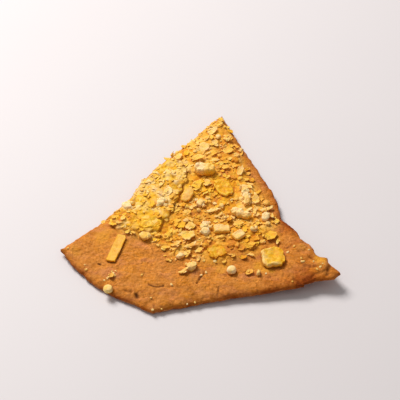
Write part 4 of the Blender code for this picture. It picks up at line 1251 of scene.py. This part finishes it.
def piece_detail(piece, look, across, along, depth, x, y):
    """Relief of a big piece over its plain form."""
    height = look.coarse * (field(x, y, 2.3, 101.0) - 0.3) + look.fine * field(x, y, 0.9, 102.0)
    nearness = np.clip(1.0 - depth / (0.3 * piece.width), 0.0, 1.0)
    height = height + look.dish * (nearness - 0.4)
    if piece.name == "cheese_shred":
        height = height + 0.05 * np.sin(across * 2 * math.pi / 0.85) - 0.25
    if piece.name == "cheese_melted_flake":
        height = height - 0.25
    if piece.name == "cheese_slab":
        left, front = slab_rims(piece, across, along)
        lumpy = 0.8 + 0.9 * field(x, y, 2.0, 106.0)
        height = height + 0.85 * np.maximum(left, 0.8 * front) * lumpy * ease(depth / 0.8) - 0.35
    return height * ease(depth / 0.5)


def piece_colours(piece, look, across, along, depth, x, y, low):
    """(tint, gild) over a big piece, with its paler and yellower patches and painted shade on its side.
    low is 1 at its foot, where the painted shadow is deepest.
    """
    tint = look.tint + 0.16 * field(x, y, 3.0, 103.0) + 0.10 * field(x, y, 1.1, 104.0)
    gild = look.gild + 0.30 * field(x, y, 3.4, 107.0)
    if piece.name == "cheese_slab":
        rims = np.maximum(*slab_rims(piece, across, along))
        tint, gild = tint + 0.48 * rims, gild - 0.80 * rims
    if piece.name == "cheese_chunk":
        duller = ease(0.5 + 2.4 * along / piece.length)
        tint, gild = tint + 0.05 - 0.24 * duller, gild + 0.40 * duller
    if piece.name == "cheese_round_flake":
        tint = tint + 0.40 * np.exp(-depth / 0.6) + 0.25 * field(x, y, 1.6, 108.0)
    if piece.name == "cheese_melted_flake":
        bump = np.exp(-((x - piece.x + 1.6) ** 2 + (y - piece.y - 1.8) ** 2) / 3.0)
        tint = tint + 0.40 * bump + 0.20 * field(x, y, 1.8, 109.0)
    # painted shade down its side, and painted shadow at its foot
    side = np.exp(-depth / 0.35)
    tint = tint - SIDE_SHADE * side - FOOT_SHADOW * low * min(1.0, 1.7 / piece.thick)
    return np.clip(tint, 0.0, 1.0), np.clip(gild + SIDE_GILD * side, 0.0, 1.0)


def torn_outline(piece, torn):
    outline = piece_outline(piece, PIECE_STEP)
    bite = torn * np.clip(0.4 + field(outline[:, 0], outline[:, 1], 1.7, 105.0), 0.0, 1.0)
    middle = np.array([piece.x, piece.y])
    reach = np.linalg.norm(outline - middle, axis=1)
    return middle + (outline - middle) * (1.0 - bite / reach)[:, None]


def make_piece(piece, rim, finish):
    """The solid's form with a torn outline, its own relief and patches of colour."""
    look = LOOKS[piece.name]
    outline = torn_outline(piece, look.torn)

    def own(x, y):
        """(along, across): the place on the piece, measured by its own length and width."""
        return rotated(x - piece.x, y - piece.y, -math.radians(piece.turn))

    def bed(x, y):
        lift = piece.lift_left + (piece.lift_right - piece.lift_left) * (own(x, y)[0] / piece.length + 0.5)
        return dough_top(x, y, depth_inside(np.column_stack([x, y]), rim)) + GAP + lift

    def underside(x, y, depth):
        return bed(x, y) - SETTLE + 0.2 * piece.thick * (1.0 - rounding(depth, PIECE_ROUNDING))

    def top(x, y, depth):
        along, across = own(x, y)
        uneven = 1.0 + 0.12 * field(x, y, 2.5, 7.0) * ease(depth)
        plain = bed(x, y) + piece.thick * uneven * (0.5 + 0.5 * rounding(depth, PIECE_ROUNDING))
        return plain + piece_detail(piece, look, across, along, depth, x, y)

    points, faces, depth, part = closed_sheet(
        outline, quick_depth(outline), top, underside, (PIECE_STEP, 2 * PIECE_STEP), PIECE_INSETS, PIECE_ROWS
    )
    x, y = points[:, 0], points[:, 1]
    along, across = own(x, y)
    # where the painted shadow lies: full on the underside, and in part on the side's rows
    low = np.where(part < 0, 1.0, 0.0)
    low[-PIECE_ROWS * len(outline):] = np.repeat(FOOT_ROWS, len(outline))
    tint, gild = piece_colours(piece, look, across, along, depth, x, y, low)
    rough = (0.06 + 0.16 * look.torn) * np.exp(-depth / 0.6) * (part >= 0)
    points = inside_solids(shaken(points, rough, 0.9))
    layers = {"tint": tint, "gild": gild, "toast": np.zeros(len(points))}
    return new_piece(piece.name + "_finished", points, faces, finish, layers, 50)


# ======== crumbs too small for the solids ========


class Nodes:
    """A node tree under construction."""

    def __init__(self, tree):
        self.tree = tree

    def feed(self, socket, value):
        """Links an output to the socket, or sets its own value, which may be a colour."""
        if isinstance(value, bpy.types.NodeSocket):
            self.tree.links.new(value, socket)
        elif socket.type == "RGBA":
            socket.default_value = (*value, 1.0)
        else:
            socket.default_value = value

    def add(self, kind, inputs, output=0, **settings):
        """Adds a node, feeds its inputs and returns one output. Each goes by name or number."""
        node = self.tree.nodes.new(kind)
        for name, value in settings.items():
            setattr(node, name, value)
        for label, value in inputs.items():
            self.feed(node.inputs[label], value)
        return node.outputs[output]


TREE_INPUTS = {
    "Surface": "Geometry", "Crumbs": "Collection", "Spacing": "Float", "Density": "Float",
    "Smallest": "Float", "Largest": "Float", "Skew": "Float", "Lean": "Float", "Rise": "Float",
    "Tint Spread": "Float", "Seed": "Int", "Finish": "Material",
}
RANDOM_SOCKETS = {"FLOAT": (2, 3, 1), "FLOAT_VECTOR": (0, 1, 0), "INT": (4, 5, 2)}  # least, most, output


def scatter_tree():
    """Geometry Nodes: points spread over a surface by its own layer named room, and on each one a
    crumb picked from a collection, turned, leaned and sized at random and given its own tint."""
    tree = bpy.data.node_groups.new("scattered crumbs", "GeometryNodeTree")
    for label, kind in TREE_INPUTS.items():
        tree.interface.new_socket(label, in_out="INPUT", socket_type="NodeSocket" + kind)
    tree.interface.new_socket("Crumbs", in_out="OUTPUT", socket_type="NodeSocketGeometry")
    add = Nodes(tree).add
    given = tree.nodes.new("NodeGroupInput").outputs

    def random_value(data_type, low, high, offset):
        """A random value for each crumb. Each offset to the seed gives another one."""
        least, most, output = RANDOM_SOCKETS[data_type]
        seed = add("FunctionNodeIntegerMath", {0: given["Seed"], 1: offset}, operation="ADD")
        inputs = {least: low, most: high, "Seed": seed}
        return add("FunctionNodeRandomValue", inputs, output, data_type=data_type)

    def layer(name):
        return add("GeometryNodeInputNamedAttribute", {"Name": name}, "Attribute", data_type="FLOAT")

    def strayed(name, offset):
        """The surface's own layer, with each crumb straying from it by up to the tint spread."""
        inputs = {0: random_value("FLOAT", -1.0, 1.0, offset), 1: given["Tint Spread"], 2: layer(name)}
        return add("ShaderNodeMath", inputs, operation="MULTIPLY_ADD")

    inputs = {
        "Mesh": given["Surface"], "Distance Min": given["Spacing"], "Density Max": given["Density"],
        "Density Factor": layer("room"), "Seed": given["Seed"],
    }
    points = add("GeometryNodeDistributePointsOnFaces", inputs, "Points", distribute_method="POISSON")
    upwards = add("ShaderNodeCombineXYZ", {"Z": random_value("FLOAT", 0.0, given["Rise"], 7)})
    raised = add("GeometryNodeSetPosition", {"Geometry": points, "Offset": upwards})

    lean = given["Lean"]
    back = add("ShaderNodeMath", {0: lean, 1: -1.0}, operation="MULTIPLY")
    least = add("ShaderNodeCombineXYZ", {"X": back, "Y": back})
    most = add("ShaderNodeCombineXYZ", {"X": lean, "Y": lean, "Z": 2 * math.pi})
    turn = add("FunctionNodeEulerToRotation", {0: random_value("FLOAT_VECTOR", least, most, 1)})
    turn = add("FunctionNodeRotateRotation", {0: turn, 1: SCATTER_SHINGLE}, rotation_space="GLOBAL")

    inputs = {0: random_value("FLOAT", 0.0, 1.0, 2), 1: given["Skew"]}
    inputs = {"Value": add("ShaderNodeMath", inputs, operation="POWER")}
    size = add("ShaderNodeMapRange", inputs | {"To Min": given["Smallest"], "To Max": given["Largest"]})

    inputs = {"Separate Children": True, "Reset Children": True, "Collection": given["Crumbs"]}
    inputs = {
        "Points": raised, "Instance": add("GeometryNodeCollectionInfo", inputs), "Pick Instance": True,
        "Instance Index": random_value("INT", 0, PROTOTYPES - 1, 3), "Rotation": turn, "Scale": size,
    }
    last = add("GeometryNodeInstanceOnPoints", inputs)
    looks = {
        "tint": strayed("zone_tint", 4),
        "gild": strayed("zone_gild", 6),
        "toast": random_value("FLOAT", 0.0, SCATTER_TOAST, 5),
    }
    for label, value in looks.items():
        inputs = {"Geometry": last, "Name": label, "Value": value}
        last = add("GeometryNodeStoreNamedAttribute", inputs, data_type="FLOAT", domain="INSTANCE")
    last = add("GeometryNodeRealizeInstances", {0: last})
    last = add("GeometryNodeSetMaterial", {"Geometry": last, "Material": given["Finish"]})
    tree.links.new(last, tree.nodes.new("NodeGroupOutput").inputs[0])
    return tree


def grow_crumbs(tree, scatter, surface, prototypes, finish):
    """Runs the tree on a copy of the surface, and returns what it makes as a plain piece."""
    carrier = bpy.data.objects.new(scatter.name, surface)
    bpy.context.scene.collection.objects.link(carrier)
    modifier = carrier.modifiers.new("scatter", "NODES")
    modifier.node_group = tree
    values = {
        "Crumbs": prototypes,
        "Spacing": scatter.spacing * MM,
        "Density": scatter.density,
        "Smallest": scatter.smallest * MM,
        "Largest": scatter.largest * MM,
        "Skew": scatter.skew,
        "Lean": scatter.lean,
        "Rise": scatter.rise * MM,
        "Tint Spread": TINT_SPREAD,
        "Seed": scatter.seed,
        "Finish": finish,
    }
    for socket in tree.interface.items_tree:
        if socket.in_out == "INPUT" and socket.name in values:
            modifier[socket.identifier] = values[socket.name]
    graph = bpy.context.evaluated_depsgraph_get()
    grown = bpy.data.meshes.new_from_object(carrier.evaluated_get(graph))
    carrier.modifiers.clear()
    carrier.data = grown
    for layer in [a.name for a in grown.attributes if a.name in ("room", "zone_tint", "zone_gild")]:
        grown.attributes.remove(grown.attributes[layer])
    return carrier


def make_prototypes(scatter, finish):
    """A few uneven shapes of radius 1 m, which the scattered crumbs repeat at their own size."""
    group = bpy.data.collections.new(scatter.name)
    bpy.context.scene.collection.children.link(group)
    for k in range(PROTOTYPES):
        draw = random.Random(SEED * 31 + k)
        half_width = draw.uniform(*scatter.half_widths)
        outline = ragged_outline(draw, scatter.sides, draw.uniform(0.95, 1.4), half_width, 0.42)
        points = ring_points(outline, scatter.rings, 1.0)
        points = points + np.array([[draw.uniform(-0.06, 0.06) for _ in range(3)] for _ in points])
        points[:, 2] += draw.uniform(-0.5, 1.0) * scatter.curl * (points[:, 0] ** 2 - 0.5)
        points[:, 1] += draw.uniform(-1.0, 1.0) * scatter.bend * (points[:, 0] ** 2 - 0.5)
        # where the painted highlight on a small flake's rim lies
        layers = {"rim": np.clip(np.hypot(points[:, 0], points[:, 1]), 0.0, 1.0) ** 2}
        faces = ring_faces(scatter.rings, scatter.sides)
        made = new_piece(f"{scatter.name}_{k}", points / MM, faces, finish, layers, 25)
        bpy.context.scene.collection.objects.unlink(made)
        group.objects.link(made)
    return group


def remove_group(group):
    for thing in list(group.objects):
        bpy.data.objects.remove(thing)
    bpy.data.collections.remove(group)


def scatter_room(points, top_limit):
    """How thickly small crumbs lie at each point: on the topping, and hardly at all off it."""
    x, y, z = points.T / MM
    clumped = ease(0.75 + 1.3 * field(x, y, 6.0, 111.0) + 0.8 * field(x, y, 2.2, 112.0))
    cover = topping_cover(x, y)
    room = cover**1.6 * (0.25 + 0.75 * clumped)
    room *= 1.0 - 0.40 * raft_share(x, y)
    room *= 1.0 - 0.40 * calm_share(x, y)
    room[raft_ledge_shadow(x, y) > 0.25] = 0.0
    for sx, sy, reach in SMOOTH_PLACES:
        room *= 1.0 - 0.92 * np.exp(-((np.hypot(x - sx, y - sy) / reach) ** 4))
    fringe = ease(1.0 - np.abs(cover - 0.3) / 0.3) * 0.05
    room = np.maximum(room, fringe)
    for piece in PIECES:
        outline = piece_outline(piece, PIECE_RIM_STEP)
        near = np.nonzero(np.hypot(x - piece.x, y - piece.y) < piece.length)[0]
        inside = depth_inside(np.column_stack([x[near], y[near]]), outline) > -0.25
        room[near[inside]] = 0.0
    room[z > top_limit] = 0.0
    lying = np.nonzero(room > 0.0)[0]
    inside = quick_depth(biscuit_rim(DOUGH_RIM_STEP))(np.column_stack([x[lying], y[lying]]))
    room[lying] *= ease((inside - 0.5) / 1.0)
    return room


def scatter_surface(carriers, top_limit):
    """A mesh of everything that the small crumbs may lie on, with its layer named room."""
    points, faces, shares = [], [], []
    first = 0
    for piece, share in carriers:
        mesh = piece.data
        own = np.zeros(len(mesh.vertices) * 3)
        mesh.vertices.foreach_get("co", own)
        own = own.reshape(-1, 3)
        points.append(own)
        shares.append(np.full(len(own), share))
        facing = np.zeros(len(mesh.polygons) * 3)
        mesh.polygons.foreach_get("normal", facing)
        upward = facing.reshape(-1, 3)[:, 2] > 0.35
        for face, up in zip(mesh.polygons, upward):
            if up:
                faces.append(tuple(i + first for i in face.vertices))
        first += len(own)
    points = np.concatenate(points)
    room = scatter_room(points, top_limit) * np.concatenate(shares)
    surface = bpy.data.meshes.new("scatter surface")
    surface.from_pydata(points.tolist(), [], faces)
    tint, gild = zone_look(points[:, 0] / MM, points[:, 1] / MM)
    add_layers(surface, {"room": room, "zone_tint": tint + 0.03, "zone_gild": gild})
    return surface


# ======== finishes ========


class Finish(Nodes):
    """A material under construction: its node tree, its shader's inputs and short ways to add nodes."""

    def __init__(self, name, roughness, specular=0.4):
        self.material = bpy.data.materials.new(name)
        self.material.use_nodes = True
        super().__init__(self.material.node_tree)
        self.shader = self.tree.nodes["Principled BSDF"].inputs
        self.feed(self.shader["Roughness"], roughness)
        self.feed(self.shader["Specular IOR Level"], specular)
        self.place = self.add("ShaderNodeTexCoord", {}, "Object")

    def noise(self, length, detail=3.0, roughness=0.55, stretch=None, swirl=0.0):
        """Noise of about this wavelength in millimetres, mostly 0.3 to 0.7."""
        place = self.place
        if stretch:
            pulled = {"Rotation": (0.0, 0.0, STREAK_TURN), "Scale": stretch, "Vector": place}
            place = self.add("ShaderNodeMapping", pulled, "Vector")
        inputs = {"Scale": 1.0 / (length * MM), "Detail": detail, "Roughness": roughness}
        return self.add("ShaderNodeTexNoise", inputs | {"Distortion": swirl, "Vector": place}, "Fac")

    def layer(self, name):
        return self.add("ShaderNodeAttribute", {}, "Fac", attribute_name=name)

    def between(self, value, low, high, to_low=0.0, to_high=1.0):
        """The value's place from low to high, clamped, and spread from to_low to to_high."""
        inputs = {"Value": value, "From Min": low, "From Max": high, "To Min": to_low, "To Max": to_high}
        return self.add("ShaderNodeMapRange", inputs, "Result")

    def maths(self, operation, first, second, clamp=False):
        return self.add("ShaderNodeMath", {0: first, 1: second}, operation=operation, use_clamp=clamp)

    def mix(self, share, first, second, blend="MIX"):
        inputs = {"Factor": share, 6: first, 7: second}
        return self.add("ShaderNodeMix", inputs, 2, data_type="RGBA", blend_type=blend)

    def multiply(self, first, second):
        return self.mix(1.0, first, second, "MULTIPLY")

    def ramp(self, value, stops):
        node = self.tree.nodes.new("ShaderNodeValToRGB")
        elements = node.color_ramp.elements
        while len(elements) < len(stops):
            elements.new(0.5)
        for element, (position, colour) in zip(elements, stops):
            element.position = position
            element.color = (*colour, 1.0)
        self.feed(node.inputs["Fac"], value)
        return node.outputs["Color"]

    def glow(self, weight):
        """Light that seeps through the cheese, the red of it farthest."""
        self.feed(self.shader["Subsurface Weight"], weight)
        self.feed(self.shader["Subsurface Radius"], (1.0, 0.75, 0.45))
        self.feed(self.shader["Subsurface Scale"], 0.8 * MM)

    def cheese_colour(self, tint, wander):
        """The colour of cheese of this tint, by the piece's layer gild, wandering by this much."""
        stray = self.between(self.noise(2.6, 3.0), 0.3, 0.7, -wander, wander)
        gild = self.maths("ADD", self.layer("gild"), stray, clamp=True)
        return self.mix(gild, self.ramp(tint, DULL_RAMP), self.ramp(tint, GILDED_RAMP))

    def bump(self, height, distance, strength=1.0, after=None):
        """A bump of at most this many millimetres, on top of the one that it comes after."""
        inputs = {"Distance": distance * MM, "Strength": strength, "Height": height}
        if after is not None:
            inputs["Normal"] = after
        return self.add("ShaderNodeBump", inputs, "Normal")


def baked_dough():
    """Orange-brown crust, mottled, browned by its layer, with melted cheese, painted glints, and
    painted shade in its cracks, creases and round the cheese.
    """
    f = Finish("baked dough", 0.62, 0.08)
    crust = f.mix(f.between(f.noise(4.6, 4.0, 0.6), 0.33, 0.67), DEEP_CRUST, LIGHT_CRUST)
    for pattern, begins, full, share, colour in CRUST_PATCHES:
        patch = f.maths("MULTIPLY", f.between(f.noise(*pattern), begins, full), share)
        crust = f.mix(patch, crust, colour)
    crust = f.multiply(crust, f.ramp(f.layer("browning"), BROWNING_RAMP))
    rolled = f.between(f.noise(2.4, 3.0, 0.75, swirl=1.3), 0.34, 0.66)
    rough = f.between(f.noise(7.0, 2.0), 0.38, 0.62, 0.35, 1.0)
    crust = f.multiply(crust, f.mix(rough, ROLLED_SMOOTH, f.mix(rolled, ROLLED_DARK, ROLLED_LIGHT)))

    stray = f.between(f.noise(1.2, 3.0), 0.3, 0.7, -0.10, 0.10)
    cheesy = f.cheese_colour(f.maths("ADD", f.layer("tint"), stray), 0.25)
    shown = f.between(f.layer("tint"), 0.02, 0.22, 0.45, 1.0)
    base = f.mix(f.maths("MULTIPLY", f.layer("cover"), shown), crust, cheesy)
    base = f.mix(f.layer("melt"), base, MELT_COLOUR)
    # painted shade in the seams and creases, under the raft's ledge and round the pieces
    base = f.mix(f.layer("crease"), base, CREASE_SHADE_COLOUR)
    # painted shade in the cracks, creases and holes
    base = f.mix(f.between(f.layer("crack"), 0.08, 0.95), base, CRACK_SHADE_COLOUR)
    pale_lip = f.maths("MULTIPLY", f.layer("lip"), f.between(f.noise(2.6), 0.42, 0.60))
    base = f.mix(f.maths("MULTIPLY", pale_lip, 0.70), base, LIP_COLOUR)
    f.feed(f.shader["Base Color"], base)

    firmness = f.between(f.layer("cover"), 0.0, 1.0, 1.0, 0.20)
    grain = f.bump(f.noise(0.7, 4.0, 0.65), 0.48, firmness)
    grain = f.bump(f.noise(2.6, 4.0, 0.65, swirl=1.2), 0.60, firmness, grain)
    f.feed(f.shader["Normal"], grain)
    return f.material


def cheese(name, roughness, glow, wander, spots, tint_low=0.0, tint_high=1.0, deepened=(1.0, 1.0, 1.0)):
    """Baked cheese, coloured by its layers tint and toast. wander is how much the tint varies
    inside one piece, spots is the wavelength of that, and deepened multiplies the colour."""
    f = Finish(name, roughness, 0.10)
    tint = f.between(f.layer("tint"), 0.0, 1.0, tint_low, tint_high)
    shift = f.between(f.noise(spots, 4.0, 0.6), 0.3, 0.7, -wander, wander)
    # painted highlight on the rims of the small flakes
    shift = f.maths("ADD", shift, f.maths("MULTIPLY", f.layer("rim"), RIM_HIGHLIGHT_TINT))
    colour = f.cheese_colour(f.maths("ADD", tint, shift, clamp=True), 1.5 * wander)
    scorched = f.between(f.noise(1.6, 3.0, 0.6), 0.50, 0.72)
    toasted = f.maths("MULTIPLY", f.layer("toast"), scorched, clamp=True)
    colour = f.multiply(f.mix(toasted, colour, SCORCHED_COLOUR), deepened)
    f.feed(f.shader["Base Color"], colour)
    f.glow(glow)
    skin = f.bump(f.noise(0.5, 3.0, 0.6), 0.05)
    skin = f.bump(f.noise(1.3, 3.0, 0.6), 0.12, after=skin)
    f.feed(f.shader["Normal"], skin)
    return f.material


# ======== the stage ========


def make_floor():
    bpy.ops.mesh.primitive_plane_add(size=FLOOR_SIZE, location=(0.0, 0.0, 0.0))
    floor = bpy.context.object
    floor.name = "floor"
    f = Finish("pale floor", 0.55, 0.3)
    f.feed(f.shader["Base Color"], f.mix(f.noise(90.0), *FLOOR_COLOURS))
    floor.data.materials.append(f.material)
    floor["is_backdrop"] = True


def make_light():
    light = bpy.data.lights.new("window", "AREA")
    light.size = WINDOW_SIZE
    light.energy = WINDOW_POWER
    light.color = WINDOW_COLOUR
    lamp = bpy.data.objects.new("window", light)
    lamp.location = WINDOW_PLACE
    lamp.rotation_euler = (-Vector(WINDOW_PLACE)).to_track_quat("-Z", "Y").to_euler()
    bpy.context.scene.collection.objects.link(lamp)
    world = bpy.data.worlds.new("soft room")
    world.use_nodes = True
    background = world.node_tree.nodes["Background"].inputs
    background["Color"].default_value = (*ROOM_COLOUR, 1.0)
    background["Strength"].default_value = ROOM_LIGHT
    bpy.context.scene.world = world
    bpy.context.scene.view_settings.view_transform = "Standard"


def make_camera():
    """The photograph's view: level with the horizon, along +Y and down by the elevation."""
    elevation = math.radians(CAMERA_ELEVATION)
    lens = bpy.data.cameras.new("camera")
    lens.sensor_width = SENSOR_WIDTH
    lens.lens = SENSOR_WIDTH * CAMERA_DISTANCE / (PIXEL * PICTURE_WIDTH)
    camera = bpy.data.objects.new("camera", lens)
    back = Vector((0.0, -math.cos(elevation), math.sin(elevation)))
    camera.location = (Vector(AIM) + back * CAMERA_DISTANCE) * MM
    camera.rotation_euler = (math.pi / 2 - elevation, 0.0, 0.0)
    bpy.context.scene.collection.objects.link(camera)
    bpy.context.scene.camera = camera


def finish_piece(piece, node, slot):
    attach(piece, "root")
    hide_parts(node)


def main():
    noise.seed_set(SEED)  # noise_vector's seed, which would come from the clock
    make_camera()
    make_light()
    make_floor()
    rim = biscuit_rim(RIM_STEP)
    crumbled = cheese("crumbled cheese", 0.60, 0.35, 0.18, 2.2)
    small = cheese("fine crumbled cheese", 0.62, 0.10, 0.12, 2.5, 0.05, 0.92)
    finishes = {
        "dry": cheese("dry pale cheese", 0.58, 0.40, 0.10, 2.0),
        "molten": cheese("melted yellow cheese", 0.48, 0.40, 0.24, 1.5, deepened=(0.92, 0.90, 0.78)),
    }

    placed = scatter_crumbs(rim)
    dough = make_dough(baked_dough(), placed)
    crumbs = make_crumbs(placed, rim, crumbled)
    carriers = [(dough, 1.0)] + [(crumb, ON_CRUMBS) for crumb in crumbs]
    surface = scatter_surface(carriers, solid_box[1][2] / MM - TOP_MARGIN)
    tree = scatter_tree()
    scattered = []
    for scatter in SCATTERS:
        prototypes = make_prototypes(scatter, small)
        scattered.append(grow_crumbs(tree, scatter, surface.copy(), prototypes, small))
        remove_group(prototypes)

    finish_piece(dough, "biscuit", "dough")
    for piece in crumbs + scattered:
        finish_piece(piece, "biscuit", "yellow_cheese")
    finish_piece(make_lone_grains(rim, finishes["dry"]), "biscuit", "pale_cheese")
    for piece in PIECES:
        look = LOOKS[piece.name]
        finish_piece(make_piece(piece, rim, finishes[look.finish]), piece.name, look.slot)


main()

look_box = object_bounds()
boxes = {"solids": solid_box, "looks": look_box}
{name: [list(map(float, corner)) for corner in box] for name, box in boxes.items()}
